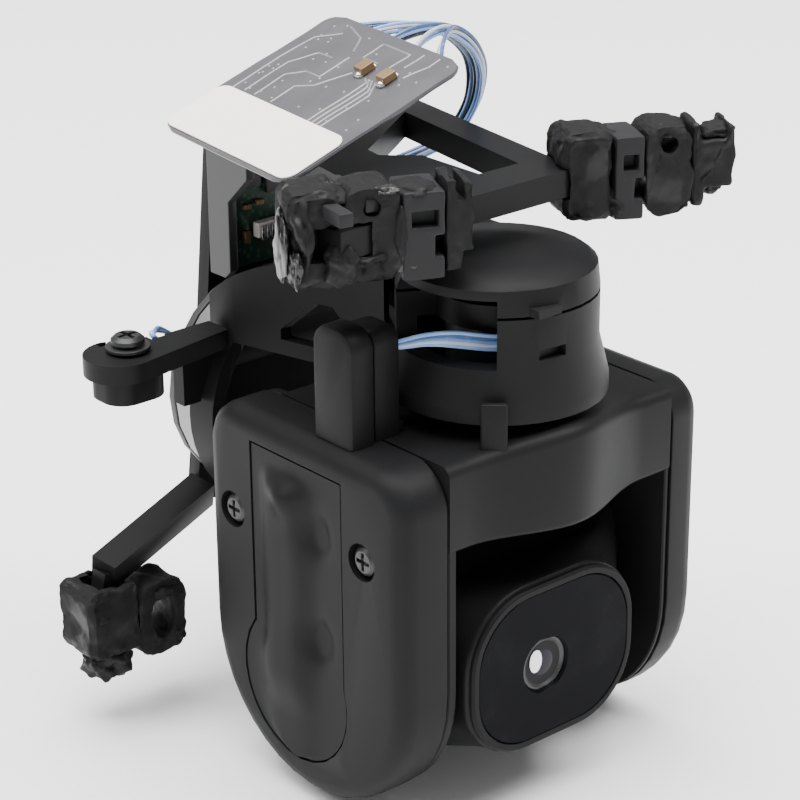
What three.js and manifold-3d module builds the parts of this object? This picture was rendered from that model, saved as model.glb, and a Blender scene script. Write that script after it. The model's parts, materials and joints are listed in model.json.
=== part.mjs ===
// A small three-axis camera gimbal: a rubber-mounted frame holds a roll motor, the roll arm
// carries the pan motor housing, the pan motor turns a U-shaped yoke, and the yoke tilts the camera.
// Millimetres, +Z up. X is across the yoke, -Y is the side that the lens faces.
// Heights in this file are counted from the foot of the pan motor housing. At the end the whole
// group is lowered, so that the origin lies on the pan axis, on top of the damper frame's front bar.
import * as THREE from 'three';
import * as BufferGeometryUtils from 'three/addons/utils/BufferGeometryUtils.js';
import Module from 'manifold-3d';

const wasm = await Module();
wasm.setup();

// ---------------------------------------------------------------- driving dimensions
const GAP = 0.3;                 // air left between neighbouring pieces

// yoke
const YOKE_LEFT = -21.7;         // outer face of the left arm
const YOKE_RIGHT = 21.9;         // outer face of the right arm
const LEFT_SEAM = -15.7;         // where the left cover meets the yoke
const RIGHT_SEAM = 17.2;         // where the right cover meets the yoke
const FRONT = -9.7;              // front face of the arms
const BACK = 23.3;               // back face of the arms
const DECK_TOP = -2.2;
const DECK_BOTTOM = -11.9;
const BULGE_RADIUS = 13.2;       // the crossbar swells round the pan motor
const BULGE_TOP = -0.5;

// axes
const TILT_Y = 6.8;              // the tilt axis runs along X at this Y and Z
const TILT_Z = -28;
const ROLL_Z = -10.5;            // the roll axis runs along Y over X = 0
const ARM_RADIUS = (BACK - FRONT) / 2;   // round lower end of each arm

// pan motor housing
const PUCK_FOOT_RADIUS = 11.9;
const PUCK_RADIUS = 10.8;
const PUCK_TOP = 11.2;           // split line under the lid
const LID_TOP = 15.4;

// camera pod
const POD_LEFT = -13.9;
const POD_RIGHT = 16.2;
const POD_RADIUS = 13.6;
const POD_SPLIT = 4;             // Y of the seam between front and rear shell
const WINDOW_Y = -10.6;
const WINDOW_WIDTH = 23.8;
const WINDOW_HEIGHT = 19;
const WINDOW_CORNER = 8;
const POD_MIDDLE = -1;           // X of the lens axis

// damper frame
const RING_BOTTOM = 19.2;
const RING_TOP = 22.2;
const REAR_WALL = 42;            // Y of the frame's back wall

// ---------------------------------------------------------------- geometry helpers
// Turns a closed geometry into a solid that can be joined and cut.
function solid(geometry) {
  let mesh = geometry.clone();
  mesh.deleteAttribute('normal');
  mesh.deleteAttribute('uv');
  mesh = BufferGeometryUtils.mergeVertices(mesh, 1e-4);
  const corners = [];
  for (let i = 0; i < mesh.index.count; i += 3) {
    const [a, b, c] = [0, 1, 2].map((step) => mesh.index.getX(i + step));
    if (a !== b && b !== c && c !== a) corners.push(a, b, c);
  }
  return new wasm.Manifold(new wasm.Mesh({
    numProp: 3,
    vertProperties: new Float32Array(mesh.attributes.position.array),
    triVerts: new Uint32Array(corners),
  }));
}

// Turns a solid back into a geometry.
function geometryOf(body) {
  const mesh = body.getMesh();
  const geometry = new THREE.BufferGeometry();
  geometry.setAttribute('position', new THREE.BufferAttribute(mesh.vertProperties, 3));
  geometry.setIndex(new THREE.BufferAttribute(mesh.triVerts, 1));
  geometry.computeVertexNormals();
  return geometry;
}

function join(first, ...others) {
  return geometryOf(others.reduce((sum, next) => sum.add(solid(next)), solid(first)));
}

function cut(first, ...others) {
  return geometryOf(others.reduce((rest, next) => rest.subtract(solid(next)), solid(first)));
}

function common(first, second) {
  return geometryOf(solid(first).intersect(solid(second)));
}

// A box from its lowest and highest corners.
function block(x0, x1, y0, y1, z0, z1) {
  const box = new THREE.BoxGeometry(x1 - x0, y1 - y0, z1 - z0);
  return box.translate((x0 + x1) / 2, (y0 + y1) / 2, (z0 + z1) / 2);
}

// Lays a geometry built along +Z so that it runs along the named axis.
// On 'x' a drawn (u, v) becomes (y, z); on 'y' it becomes (x, z).
function along(axis, geometry, start) {
  if (axis === 'x') {
    const toX = new THREE.Matrix4().set(0, 0, 1, start, 1, 0, 0, 0, 0, 1, 0, 0, 0, 0, 0, 1);
    return geometry.applyMatrix4(toX);
  }
  if (axis === 'y') {
    return geometry.translate(0, 0, -start).rotateX(Math.PI / 2).scale(1, 1, 1);
  }
  return geometry.translate(0, 0, start);
}

// The points of a drawn path, leaving out any that falls on the one before it or on the first.
function distinct(path, curveSegments) {
  const points = path.getPoints(curveSegments);
  return points.filter((point, index) => {
    const before = points[(index + points.length - 1) % points.length];
    return point.distanceTo(before) > 1e-3;
  });
}

// Extrudes a drawn outline between two places on an axis, with an optional bevel at both ends.
function slab(shape, axis, from, to, bevel = 0, curveSegments = 8) {
  const outline = new THREE.Shape(distinct(shape, curveSegments));
  outline.holes = shape.holes.map((hole) => new THREE.Path(distinct(hole, curveSegments)));
  const geometry = new THREE.ExtrudeGeometry(outline, {
    depth: to - from - 2 * bevel,
    bevelEnabled: bevel > 0,
    bevelThickness: bevel,
    bevelSize: bevel,
    bevelOffset: -bevel,
    bevelSegments: bevel > 0.8 ? 3 : 1,
  });
  const start = axis === 'y' ? to - bevel : from + bevel;
  return along(axis, geometry, start);
}

// A disc, ring or stepped turned piece. Each pair of the profile is (radius, place on the axis).
function turned(profile, axis, centre, segments = 24) {
  const points = profile.map(([radius, place]) => new THREE.Vector2(radius, place));
  const geometry = new THREE.LatheGeometry(points, segments);
  if (axis === 'x') geometry.rotateZ(-Math.PI / 2);
  if (axis === 'z') geometry.rotateX(Math.PI / 2);
  return geometry.translate(...centre);
}

function ring(inner, outer, from, to) {
  return [[inner, from], [outer, from], [outer, to], [inner, to], [inner, from]];
}

function disc(radius, from, to) {
  return [[0, from], [radius, from], [radius, to], [0, to]];
}

// A rectangle with round corners, centred on (u, v).
function roundedRectangle(u, v, width, height, corner) {
  const left = u - width / 2;
  const right = u + width / 2;
  const low = v - height / 2;
  const high = v + height / 2;
  const shape = new THREE.Shape();
  shape.moveTo(left + corner, low);
  shape.lineTo(right - corner, low);
  shape.absarc(right - corner, low + corner, corner, -Math.PI / 2, 0);
  shape.lineTo(right, high - corner);
  shape.absarc(right - corner, high - corner, corner, 0, Math.PI / 2);
  shape.lineTo(left + corner, high);
  shape.absarc(left + corner, high - corner, corner, Math.PI / 2, Math.PI);
  shape.lineTo(left, low + corner);
  shape.absarc(left + corner, low + corner, corner, Math.PI, 1.5 * Math.PI);
  return shape;
}

// An oval opening for a shape's holes.
function ovalHole(u, v, radiusU, radiusV = radiusU, count = 16) {
  const points = [];
  for (let i = 0; i < count; i += 1) {
    const angle = -2 * Math.PI * i / count;
    points.push(new THREE.Vector2(u + radiusU * Math.cos(angle), v + radiusV * Math.sin(angle)));
  }
  return new THREE.Path(points);
}

function polygon(...points) {
  return new THREE.Shape(points.map(([u, v]) => new THREE.Vector2(u, v)));
}

// A thin wire of round section along a smooth line through the points.
function wire(points, diameter, steps, sides = 8) {
  const path = new THREE.CatmullRomCurve3(points.map((point) => new THREE.Vector3(...point)));
  const section = new THREE.Shape();
  section.absarc(0, 0, diameter / 2, 0, 2 * Math.PI);
  return new THREE.ExtrudeGeometry(section, { extrudePath: path, steps, curveSegments: sides / 2 });
}

// ---------------------------------------------------------------- finishes
function finish(color, roughness, metalness = 0) {
  return new THREE.MeshStandardMaterial({ color, roughness, metalness });
}

const blackPlastic = finish(0x2f2f32, 0.6);
const greyPlastic = finish(0x4a4a4d, 0.55);
const blackRubber = finish(0x1b1b1d, 0.8);
const clipPlastic = finish(0x3a3a3d, 0.5);
const castMetal = finish(0x504e50, 0.5, 0.6);
const brightSteel = finish(0xaaa5aa, 0.35, 1);
const darkSteel = finish(0x333336, 0.4, 1);
const copper = finish(0xb06a35, 0.4, 1);
const boardGreen = finish(0x0f3723, 0.4);
const flexGrey = finish(0x82808a, 0.35);
const paperWhite = finish(0xfdf5f0, 0.7);
const solderGold = finish(0x8a6a40, 0.4, 0.8);
const windowGlass = finish(0x101012, 0.08);
const rimGrey = finish(0x4b4b50, 0.4);
const lensGlass = finish(0x20202a, 0.03);
const wireBlue = finish(0x96b4e1, 0.45);
const blackTape = finish(0x1a1a1c, 0.6);

// ---------------------------------------------------------------- scene graph
const gimbal = new THREE.Group();
const rollStage = new THREE.Group();
const panStage = new THREE.Group();
const tiltStage = new THREE.Group();
gimbal.add(rollStage);
rollStage.add(panStage);
panStage.add(tiltStage);

function place(group, name, geometry, material) {
  const mesh = new THREE.Mesh(geometry, material);
  mesh.name = name;
  group.add(mesh);
  return mesh;
}

// ---------------------------------------------------------------- damper frame (fixed)
const BAR_FRONT = -1.2;          // the front bar carries the upper dampers
const BAR_BACK = 2.4;
const WALL_LEFT = -5.2;          // the back wall is narrow and stands off centre
const WALL_RIGHT = 10.6;
const FOOT = { x: 26.6, y: 37.4, z: -27.4 };   // where each lower arm ends

// A straight square bar between two points of the frame.
function bar(from, to, width, height) {
  const a = new THREE.Vector3(...from);
  const b = new THREE.Vector3(...to);
  const beam = new THREE.BoxGeometry(width, height, a.distanceTo(b));
  const turn = new THREE.Quaternion().setFromUnitVectors(
    new THREE.Vector3(0, 0, 1), b.clone().sub(a).normalize());
  const middle = a.add(b).multiplyScalar(0.5);
  return beam.applyQuaternion(turn).translate(middle.x, middle.y, middle.z);
}

// The plate behind the front bar, seen from above: it narrows to the back wall and has one opening.
function framePlate(grow) {
  const plate = polygon([-13 - grow, 0], [-8.8 - grow, 22], [WALL_LEFT - grow, REAR_WALL + 2],
    [WALL_RIGHT + grow, REAR_WALL + 2], [15 + grow, 30], [10.2 + grow, 0]);
  const opening = slab(polygon([6.6, 4], [10.6, 27], [-2, 18.5], [-2.4, 16.2], [1, 13], [1, 4]), 'z', 0, 40);
  return cut(slab(plate, 'z', RING_BOTTOM - grow, RING_TOP + grow), opening);
}

function damperFrame() {
  const frontBar = block(-22, 22.6, BAR_FRONT, BAR_BACK, RING_BOTTOM, RING_TOP);
  const web = slab(polygon([WALL_LEFT, RING_BOTTOM + 0.5], [WALL_RIGHT, RING_BOTTOM + 0.5], [WALL_RIGHT, ROLL_Z],
    [9.8, ROLL_Z - 15], [-9.8, ROLL_Z - 15], [-8, ROLL_Z]), 'y', REAR_WALL, REAR_WALL + 2);
  const arms = [-1, 1].map((side) => bar([side * 9, REAR_WALL - 0.1, ROLL_Z - 13.3],
    [side * FOOT.x, FOOT.y, FOOT.z], 3.2, 3.4));
  const lowerPegs = [-1, 1].map((side) => bar([side * (FOOT.x - 0.6), FOOT.y, FOOT.z],
    [side * (FOOT.x + 1), FOOT.y, FOOT.z - 7], 2.4, 2.4));
  return join(frontBar, framePlate(0), web, ...arms, ...lowerPegs);
}
place(gimbal, 'damper_frame', damperFrame(), blackPlastic);

// ---------------------------------------------------------------- rubber dampers (fixed)
// Each upper damper is a row of rubber pieces held by a hard clip. The row is turned on the frame.
const DAMPER_TURN = THREE.MathUtils.degToRad(-27);
const DAMPER_LOW = 16.3;
const DAMPER_HIGH = 26;
const BAR_SLOT = join(framePlate(GAP),
  block(-30, 30, BAR_FRONT - GAP, BAR_BACK + GAP, RING_BOTTOM - GAP, RING_TOP + GAP));

// Sets a damper piece on the frame and lets the frame's bars pass through it.
function onFrame(geometry, centre) {
  geometry.rotateZ(DAMPER_TURN).translate(...centre);
  return cut(geometry, BAR_SLOT);
}

// A rubber block with a waist, drawn in the row's own axes: u along the row, z up.
function rubberBlock(u0, u1, depth, low = DAMPER_LOW, high = DAMPER_HIGH) {
  const corner = Math.min(1.4, (u1 - u0) / 3);
  const shape = roundedRectangle((u0 + u1) / 2, (low + high) / 2, u1 - u0, high - low, corner);
  return slab(shape, 'y', -depth / 2, depth / 2, 0.6, 3);
}

// A hard H-shaped clip: two legs and a cross piece.
function hardClip(u0, u1, depth) {
  const legs = block(u0, u1, -depth / 2, depth / 2, DAMPER_LOW - 0.2, DAMPER_HIGH - 0.8);
  const window = block(u0 + 0.9, u1 - 0.7, -depth, -depth / 4, 21.5, 23.2);
  const notch = block(u1 - 1, u1 + 1, -depth, depth, 18.4, 20.6);
  return cut(legs, window, notch);
}

// A rubber loop that the mounting peg passes through from front to back.
function rubberLoop(u0, u1, depth) {
  const middle = (u0 + u1) / 2;
  const shape = roundedRectangle(middle, 21.1, u1 - u0, DAMPER_HIGH - DAMPER_LOW, 1.6);
  shape.holes.push(ovalHole(middle, 23.9, 0.9));
  return slab(shape, 'y', -depth / 2, depth / 2, 0, 3);
}

// The hook at the row's end: an upper block with a notch and a lower lip.
function rubberHook(u0, u1, depth) {
  const shape = polygon([u0, 16.6], [u0 + 1.6, 16.6], [u0 + 1.6, 18.6], [u1, 18.6], [u1, 25.4],
    [u1 - 0.9, 25.8], [u1 - 0.9, 23.9], [u0 + 1, 23.9], [u0 + 1, 26], [u0, 26]);
  return slab(shape, 'y', -depth / 2, depth / 2);
}

const upperDampers = [
  { side: 'right', centre: [18.3, -2.6, 0], block: [-9.6, -4.1], clip: [-3.8, -0.6], loop: [-0.3, 4.6],
    hook: [4.9, 9.8] },
  { side: 'left', centre: [-15.8, 0.6, 0], block: [-9.8, -4.2], loop: [-3.9, 1.6], clip: [1.9, 6.2],
    hook: [6.5, 9.2] },
];
for (const { side, centre, block: solidPart, clip, loop, hook } of upperDampers) {
  place(gimbal, `${side}_damper_block`, onFrame(rubberBlock(...solidPart, 6.6), centre), blackRubber);
  place(gimbal, `${side}_damper_clip`, onFrame(hardClip(...clip, 6.2), centre), clipPlastic);
  place(gimbal, `${side}_damper_loop`, onFrame(rubberLoop(...loop, 6), centre), blackRubber);
  place(gimbal, `${side}_damper_hook`, onFrame(rubberHook(...hook, 5), centre), blackRubber);
}

// Each lower damper is a rubber shoe on the end of the lower arm and an eyelet beside it.
function lowerShoe(side) {
  const outline = roundedRectangle(side * (FOOT.x + 0.8), FOOT.z - 5.2, 6.8, 8.6, 1.4);
  const shoe = slab(outline, 'y', FOOT.y - 3.4, FOOT.y + 3.4, 0.6, 3);
  const clearance = 6 * GAP;
  const pocket = bar([side * (FOOT.x - 1.2), FOOT.y, FOOT.z + 6],
    [side * (FOOT.x + 1.1), FOOT.y, FOOT.z - 7 - GAP], 2.4 + clearance, 2.4 + clearance);
  const armPath = bar([side * (FOOT.x - 10), FOOT.y + 1.6, FOOT.z + 5.4],
    [side * (FOOT.x + 0.8), FOOT.y, FOOT.z - 0.3], 3.2 + clearance, 3.6 + clearance);
  return cut(shoe, pocket, armPath);
}

function lowerEyelet(side) {
  const middle = side * (FOOT.x - 6.3);
  const outline = roundedRectangle(middle, FOOT.z - 7, 6.8, 9.4, 2.4);
  outline.holes.push(ovalHole(middle, FOOT.z - 7, 1.7, 2.6));
  return slab(outline, 'y', FOOT.y - 2.6, FOOT.y + 2.4, 0, 4);
}

for (const [name, side] of [['left', -1], ['right', 1]]) {
  place(gimbal, `lower_${name}_shoe`, lowerShoe(side), blackRubber);
  place(gimbal, `lower_${name}_eyelet`, lowerEyelet(side), blackRubber);
}

// ---------------------------------------------------------------- rear bracket and board (fixed)
const BRACKET_X = -5.5;
const BRACKET_BOTTOM = 3.2;

function rearBracket() {
  const top = RING_BOTTOM - GAP;
  const wall = slab(polygon([REAR_WALL - GAP, BRACKET_BOTTOM], [REAR_WALL - GAP, top], [34.2, top],
    [34.2, 16], [37.8, 12.6], [37.8, BRACKET_BOTTOM + 1], [38.8, BRACKET_BOTTOM]),
  'x', BRACKET_X - 1.2, BRACKET_X);
  const flange = block(BRACKET_X - 0.2, BRACKET_X + 2, 40.6, REAR_WALL - GAP, BRACKET_BOTTOM, top);
  const cap = block(BRACKET_X - 0.2, BRACKET_X + 4, 36.2, REAR_WALL - GAP, top - 1.2, top);
  return join(wall, flange, cap);
}
place(gimbal, 'rear_bracket', rearBracket(), castMetal);
place(gimbal, 'control_board', block(-4.8, 10, 39, 40, 4, 17.4), boardGreen);
place(gimbal, 'board_connector', block(-2.6, 2.9, 37.6, 39 - GAP, 7.4, 9.2), paperWhite);

// ---------------------------------------------------------------- roll motor
const ROLL_CENTRE = [0, 0, ROLL_Z];
const ARM_PLATE_FRONT = 33.4;
const ARM_PLATE_BACK = 35.4;
const rollAxis = (profile) => turned(profile, 'y', ROLL_CENTRE);

place(gimbal, 'roll_motor_base', rollAxis(ring(3.6, 13.4, 40.6, REAR_WALL - GAP)), castMetal);
place(gimbal, 'roll_stator', rollAxis(ring(4, 9.8, 37.2, 40.3)), copper);
place(gimbal, 'roll_bearing', rollAxis(ring(1.5, 3.3, 38.4, 41.4)), brightSteel);
place(rollStage, 'roll_motor_bell', rollAxis([[1.8, ARM_PLATE_BACK + GAP], [12.4, ARM_PLATE_BACK + GAP],
  [13.4, ARM_PLATE_BACK + 1.2], [13.4, 40.3], [12.4, 40.3], [12.4, 36.8], [1.8, 36.8],
  [1.8, ARM_PLATE_BACK + GAP]]), brightSteel);
place(rollStage, 'roll_magnets', rollAxis(ring(10.3, 12.1, 37.2, 40.2)), darkSteel);
place(rollStage, 'roll_shaft', rollAxis(disc(1.2, ARM_PLATE_BACK + GAP, 41.4)), brightSteel);

// ---------------------------------------------------------------- roll arm and pan housing
const ARM_HALF = 11.6;           // half the width of the arm where it meets the plate
const ARM_NECK = 7.4;            // half its width at the pan housing
const HOUSING_CLEAR = PUCK_FOOT_RADIUS + GAP;

// Side profile of the arm, drawn as (y, z).
function armProfile() {
  const shape = new THREE.Shape();
  shape.moveTo(2, 11);
  shape.lineTo(14, 11);
  shape.quadraticCurveTo(28, 10.5, ARM_PLATE_BACK, 3.4);
  shape.lineTo(ARM_PLATE_BACK, -5);
  shape.lineTo(ARM_PLATE_FRONT - 0.4, -5);
  shape.lineTo(ARM_PLATE_FRONT - 0.4, -1.2);
  shape.lineTo(2, -1.2);
  return shape;
}

// The arm seen from above: a narrow neck that widens towards the plate.
function armPlan(inset) {
  const neck = ARM_NECK - inset;
  const wide = ARM_HALF - inset;
  return slab(polygon([-neck, 1], [neck, 1], [neck, 15], [wide, 31], [wide, 36], [-wide, 36], [-wide, 31],
    [-neck, 15]), 'z', -6, 14);
}

function rollArm() {
  const blank = common(slab(armProfile(), 'x', -ARM_HALF, ARM_HALF, 0, 10), armPlan(0));
  const hollow = common(slab(polygon([2, -3], [2, 8.6], [15, 8.6], [24, 8], [32, 3], [32, -3]), 'x',
    -ARM_HALF, ARM_HALF), armPlan(1.6));
  const sideWindow = slab(polygon([16.5, 0.6], [24.5, 0.6], [24.5, 1.8], [20, 5.8], [17.6, 5.8], [16.5, 4.6]),
    'x', -ARM_HALF - 1, -ARM_NECK + 3);
  const plate = turned(disc(15, ARM_PLATE_FRONT, ARM_PLATE_BACK), 'y', ROLL_CENTRE, 48);
  const rim = turned(ring(13.2, 15, ARM_PLATE_FRONT - 2.4, ARM_PLATE_FRONT + 0.5), 'y', ROLL_CENTRE, 48);
  const rimKeep = block(-20, 20, 20, 40, -30, 30);
  const yokeSweep = turned([[0, -50], [32.8, -50], [32.8, -1.4], [13.8, -1.4], [13.8, -0.1], [0, -0.1]], 'z',
    [0, 0, 0], 64);
  const seat = turned(disc(HOUSING_CLEAR, -5, 20), 'z', [0, 0, 0], 48);
  const arm = cut(join(blank, plate, common(rim, rimKeep)), hollow, sideWindow, seat);
  return cut(arm, yokeSweep);
}
place(rollStage, 'roll_arm', rollArm(), blackPlastic);

// The side of the drum that is open for the cable, seen from above and drawn as (x, y).
function openSide(bottom, top) {
  return slab(polygon([0, 0], [-16.4, -17.6], [-26, 0], [-20, 11.5]), 'z', bottom, top);
}

// The pan housing: an open-sided drum on a wider foot. Its left side is open for the cable.
function panHousing() {
  const drum = turned([[0, 8.4], [8.6, 8.4], [8.6, 0.2], [11.9, 0.2], [11.9, 1.6], [11.2, 4.4],
    [PUCK_RADIUS, 6], [PUCK_RADIUS, PUCK_TOP], [0, PUCK_TOP]], 'z', [0, 0, 0], 36);
  const core = turned(disc(6.4, -2, 20), 'z', [0, 0, 0], 32);
  const slot = block(-3.6, -0.4, -14, -9.8, 6.6, 7.8);
  const bore = turned(disc(2.3, 0, 20), 'z', [0, 0, 0], 24);
  const recess = cut(openSide(5.8, PUCK_TOP + 1), core);
  return cut(drum, recess, slot, bore);
}
place(rollStage, 'pan_housing', panHousing(), blackPlastic);

// The lid: a shallow cap that runs back over the roll arm as a tongue.
function panLid() {
  const cap = turned([[0, PUCK_TOP + GAP], [PUCK_RADIUS, PUCK_TOP + GAP], [10.5, 14.2], [9.6, 14.9],
    [5, LID_TOP], [0, LID_TOP]], 'z', [0, 0, 0], 36);
  const tongue = slab(polygon([0, PUCK_TOP + GAP], [24, PUCK_TOP + GAP], [22.5, 12.6], [10, 14.7], [0, 14.9]),
    'x', -ARM_NECK, ARM_NECK, 0.4);
  const latch = block(-4.6, -1.4, -PUCK_RADIUS - 0.3, -9, PUCK_TOP + GAP, PUCK_TOP + 1.2);
  return cut(join(cap, tongue, latch), openSide(PUCK_TOP, 13.2));
}
place(rollStage, 'pan_lid', panLid(), blackPlastic);

// ---------------------------------------------------------------- pan motor
const panAxis = (profile) => turned(profile, 'z', [0, 0, 0]);
place(rollStage, 'pan_stator', panAxis(ring(2.6, 5.6, 3.2, 8.1)), copper);
place(rollStage, 'pan_bearing', panAxis(ring(1.3, 2, 8.8, 10.6)), brightSteel);
place(panStage, 'pan_motor_bell', panAxis([[1.3, 0.2], [7.9, 0.2], [7.9, 1.5], [6.4, 1.5], [6.4, 1.4],
  [1.3, 1.4], [1.3, 0.2]]), brightSteel);
place(panStage, 'pan_shaft', panAxis(disc(1, -0.2, 10.4)), brightSteel);

// ---------------------------------------------------------------- cable clamp on the roll arm
const LUG = { x: -24.4, y: 33.2, top: 0.9 };

function sideLug() {
  const outline = new THREE.Shape();
  outline.moveTo(-12.2, 31.2);
  outline.lineTo(LUG.x, 29.2);
  outline.absarc(LUG.x - 1, LUG.y, 4.2, -Math.PI / 2, -1.5 * Math.PI, true);
  outline.lineTo(-19, 34.8);
  outline.lineTo(-12.2, 34.8);
  const upper = slab(outline, 'z', LUG.top - 2.6, LUG.top - 0.4);
  const tier = slab(roundedRectangle(LUG.x - 0.2, LUG.y, 7.4, 6.6, 2.6), 'z', LUG.top - 5.4, LUG.top - 2);
  const root = block(-17.4, -13.2, 32.9, 34.8, -8, LUG.top - 0.4);
  const slot = block(LUG.x - 1.6, LUG.x + 0.4, 36.2, 37.1, LUG.top - 2, LUG.top + 1);
  const notch = block(-20.4, -18.4, 34.4, 38, LUG.top - 1.6, LUG.top + 1);
  const armRoom = turned(disc(15 + GAP, 30, 36), 'y', ROLL_CENTRE, 48);
  const hole = turned(disc(0.85, -10, 5), 'z', [LUG.x, LUG.y, 0], 16);
  return cut(join(upper, tier, root), slot, notch, hole, armRoom);
}

// A pan-head screw along an axis, with a cross recess cut in its head.
function crossScrew(axis, centre, headRadius, headHeight, shankRadius, shankLength, outward) {
  const profile = [[0, -shankLength], [shankRadius, -shankLength], [shankRadius, 0], [headRadius, 0],
    [headRadius, headHeight * 0.5], [headRadius * 0.75, headHeight * 0.9], [0, headHeight]];
  let screw = turned(profile, 'z', [0, 0, 0], 16);
  const slotLength = headRadius * 0.62;
  const slotHalf = headRadius * 0.13;
  const slotFloor = headHeight * 0.4;
  const first = block(-slotLength, slotLength, -slotHalf, slotHalf, slotFloor, headHeight + 1);
  const second = block(-slotHalf, slotHalf, -slotLength, slotLength, slotFloor, headHeight + 1);
  screw = cut(screw, first, second);
  if (axis === 'x') screw.rotateY(outward * Math.PI / 2);
  return screw.translate(...centre);
}

place(rollStage, 'cable_clamp', sideLug(), blackPlastic);
place(rollStage, 'clamp_washer', turned(ring(0.9, 2.5, LUG.top - 0.1, LUG.top + 0.3), 'z',
  [LUG.x, LUG.y, 0], 28), darkSteel);
place(rollStage, 'clamp_screw', crossScrew('z', [LUG.x, LUG.y, LUG.top + 0.6], 1.9, 1, 0.6, 4), darkSteel);

// ---------------------------------------------------------------- yoke
// The outline of an arm seen from its side, drawn as (y, z): a flat top and a round lower end.
function armOutline(inset, topCorner) {
  const front = FRONT + inset;
  const back = BACK - inset;
  const top = DECK_TOP - inset;
  const shape = new THREE.Shape();
  shape.moveTo(front, TILT_Z);
  shape.absarc(TILT_Y, TILT_Z, ARM_RADIUS - inset, Math.PI, 2 * Math.PI);
  shape.lineTo(back, top - topCorner);
  shape.absarc(back - topCorner, top - topCorner, topCorner, 0, Math.PI / 2);
  shape.lineTo(front + topCorner, top);
  shape.absarc(front + topCorner, top - topCorner, topCorner, Math.PI / 2, Math.PI);
  return shape;
}

// The crossbar seen from above, drawn as (x, y), with its round swelling at the front.
function crossbarOutline() {
  const reach = Math.sqrt(BULGE_RADIUS ** 2 - FRONT ** 2);
  const angle = Math.atan2(FRONT, reach);
  const shape = new THREE.Shape();
  shape.moveTo(LEFT_SEAM + GAP, FRONT);
  shape.lineTo(-reach, FRONT);
  shape.absarc(0, 0, BULGE_RADIUS, -Math.PI - angle, angle);
  shape.lineTo(RIGHT_SEAM - GAP, FRONT);
  shape.lineTo(RIGHT_SEAM - GAP, 18);
  shape.lineTo(LEFT_SEAM + GAP, 18);
  return shape;
}

const LEFT_WALL = 1.1;           // inner wall of the left arm
const RIGHT_WALL = 0.6;
const STOP_ANGLE = THREE.MathUtils.degToRad(226);   // where the pan stop stands on the crossbar

function yokeFrame() {
  const crossbar = slab(crossbarOutline(), 'z', DECK_BOTTOM, DECK_TOP, 0, 12);
  const collar = turned(disc(BULGE_RADIUS, DECK_TOP - 1, BULGE_TOP), 'z', [0, 0, 0], 36);
  const well = turned(disc(2.6, DECK_TOP - 3, 2), 'z', [0, 0, 0], 24);
  const podRoom = turned(disc(POD_RADIUS + 0.7, POD_LEFT - 5, POD_RIGHT + 5), 'x', [0, TILT_Y, TILT_Z], 32);
  const leftWall = slab(armOutline(0.1, 5), 'x', LEFT_SEAM + GAP, LEFT_SEAM + GAP + LEFT_WALL);
  const rightWall = slab(armOutline(0.1, 4), 'x', RIGHT_SEAM - GAP - RIGHT_WALL, RIGHT_SEAM - GAP);
  const motorHole = turned(disc(6, -20, -10), 'x', [0, TILT_Y, TILT_Z], 32);
  const pivotHole = turned(disc(2.2, 10, 25), 'x', [0, TILT_Y, TILT_Z], 24);
  const stop = block(HOUSING_CLEAR + 0.05, BULGE_RADIUS - 0.1, -1.4, 1.4, DECK_TOP - 0.5, 3).rotateZ(STOP_ANGLE);
  const body = join(cut(crossbar, podRoom), collar, leftWall, rightWall, stop);
  return cut(body, well, motorHole, pivotHole);
}
place(panStage, 'yoke_frame', yokeFrame(), blackPlastic);

const SCREWS = [[18.6, -14.4], [-3.2, -12.9]];   // (y, z) of the two cover screws
const PANEL_DEPTH = 0.9;

// The keyhole outline of the inset panel, drawn as (y, z).
function keyhole(inset) {
  const bossY = 8.4;
  const bossZ = -32;
  const bossRadius = 8.6 - inset;
  const half = 7.4 - inset;
  const middle = 7.6;
  const shape = new THREE.Shape();
  const joinLeft = Math.asin((middle - half - bossY) / bossRadius);
  const joinRight = Math.asin((middle + half - bossY) / bossRadius);
  shape.moveTo(middle - half, -5.4 - inset);
  shape.lineTo(middle - half, bossZ + bossRadius * Math.cos(joinLeft));
  shape.absarc(bossY, bossZ, bossRadius, Math.PI / 2 - joinLeft, Math.PI / 2 - joinRight + 2 * Math.PI);
  shape.lineTo(middle + half, -5.4 - inset);
  return shape;
}

function leftCover() {
  const shell = slab(armOutline(0, 5), 'x', YOKE_LEFT, LEFT_SEAM + 4, 2.2, 9);
  const inside = slab(armOutline(1.4, 4), 'x', YOKE_LEFT + 2.3, LEFT_SEAM + 6);
  const trim = block(LEFT_SEAM, LEFT_SEAM + 8, -20, 40, -60, 10);
  const recess = slab(keyhole(-0.25), 'x', YOKE_LEFT - 1, YOKE_LEFT + PANEL_DEPTH + GAP);
  const screwHoles = SCREWS.map(([y, z]) => turned([[0, -3], [2.1, -3], [2.1, 1.1], [0.8, 1.1], [0.8, 4], [0, 4]],
    'x', [YOKE_LEFT, y, z], 18));
  return cut(shell, inside, trim, recess, ...screwHoles);
}
place(panStage, 'left_arm_cover', leftCover(), blackPlastic);

function keyholePanel() {
  const sheet = slab(keyhole(0), 'x', YOKE_LEFT + 0.1, YOKE_LEFT + PANEL_DEPTH, 0.2, 12);
  const spine = slab(roundedRectangle(7.4, -19, 5.4, 24, 2.7), 'x', YOKE_LEFT - 0.7, YOKE_LEFT + 0.6, 0.6, 6);
  return join(sheet, spine);
}
place(panStage, 'keyhole_panel', keyholePanel(), blackPlastic);

SCREWS.forEach(([y, z], index) => {
  place(panStage, `cover_screw_${index + 1}`,
    crossScrew('x', [YOKE_LEFT + 0.9, y, z], 1.6, 0.8, 0.55, 3, -1), darkSteel);
});

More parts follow.
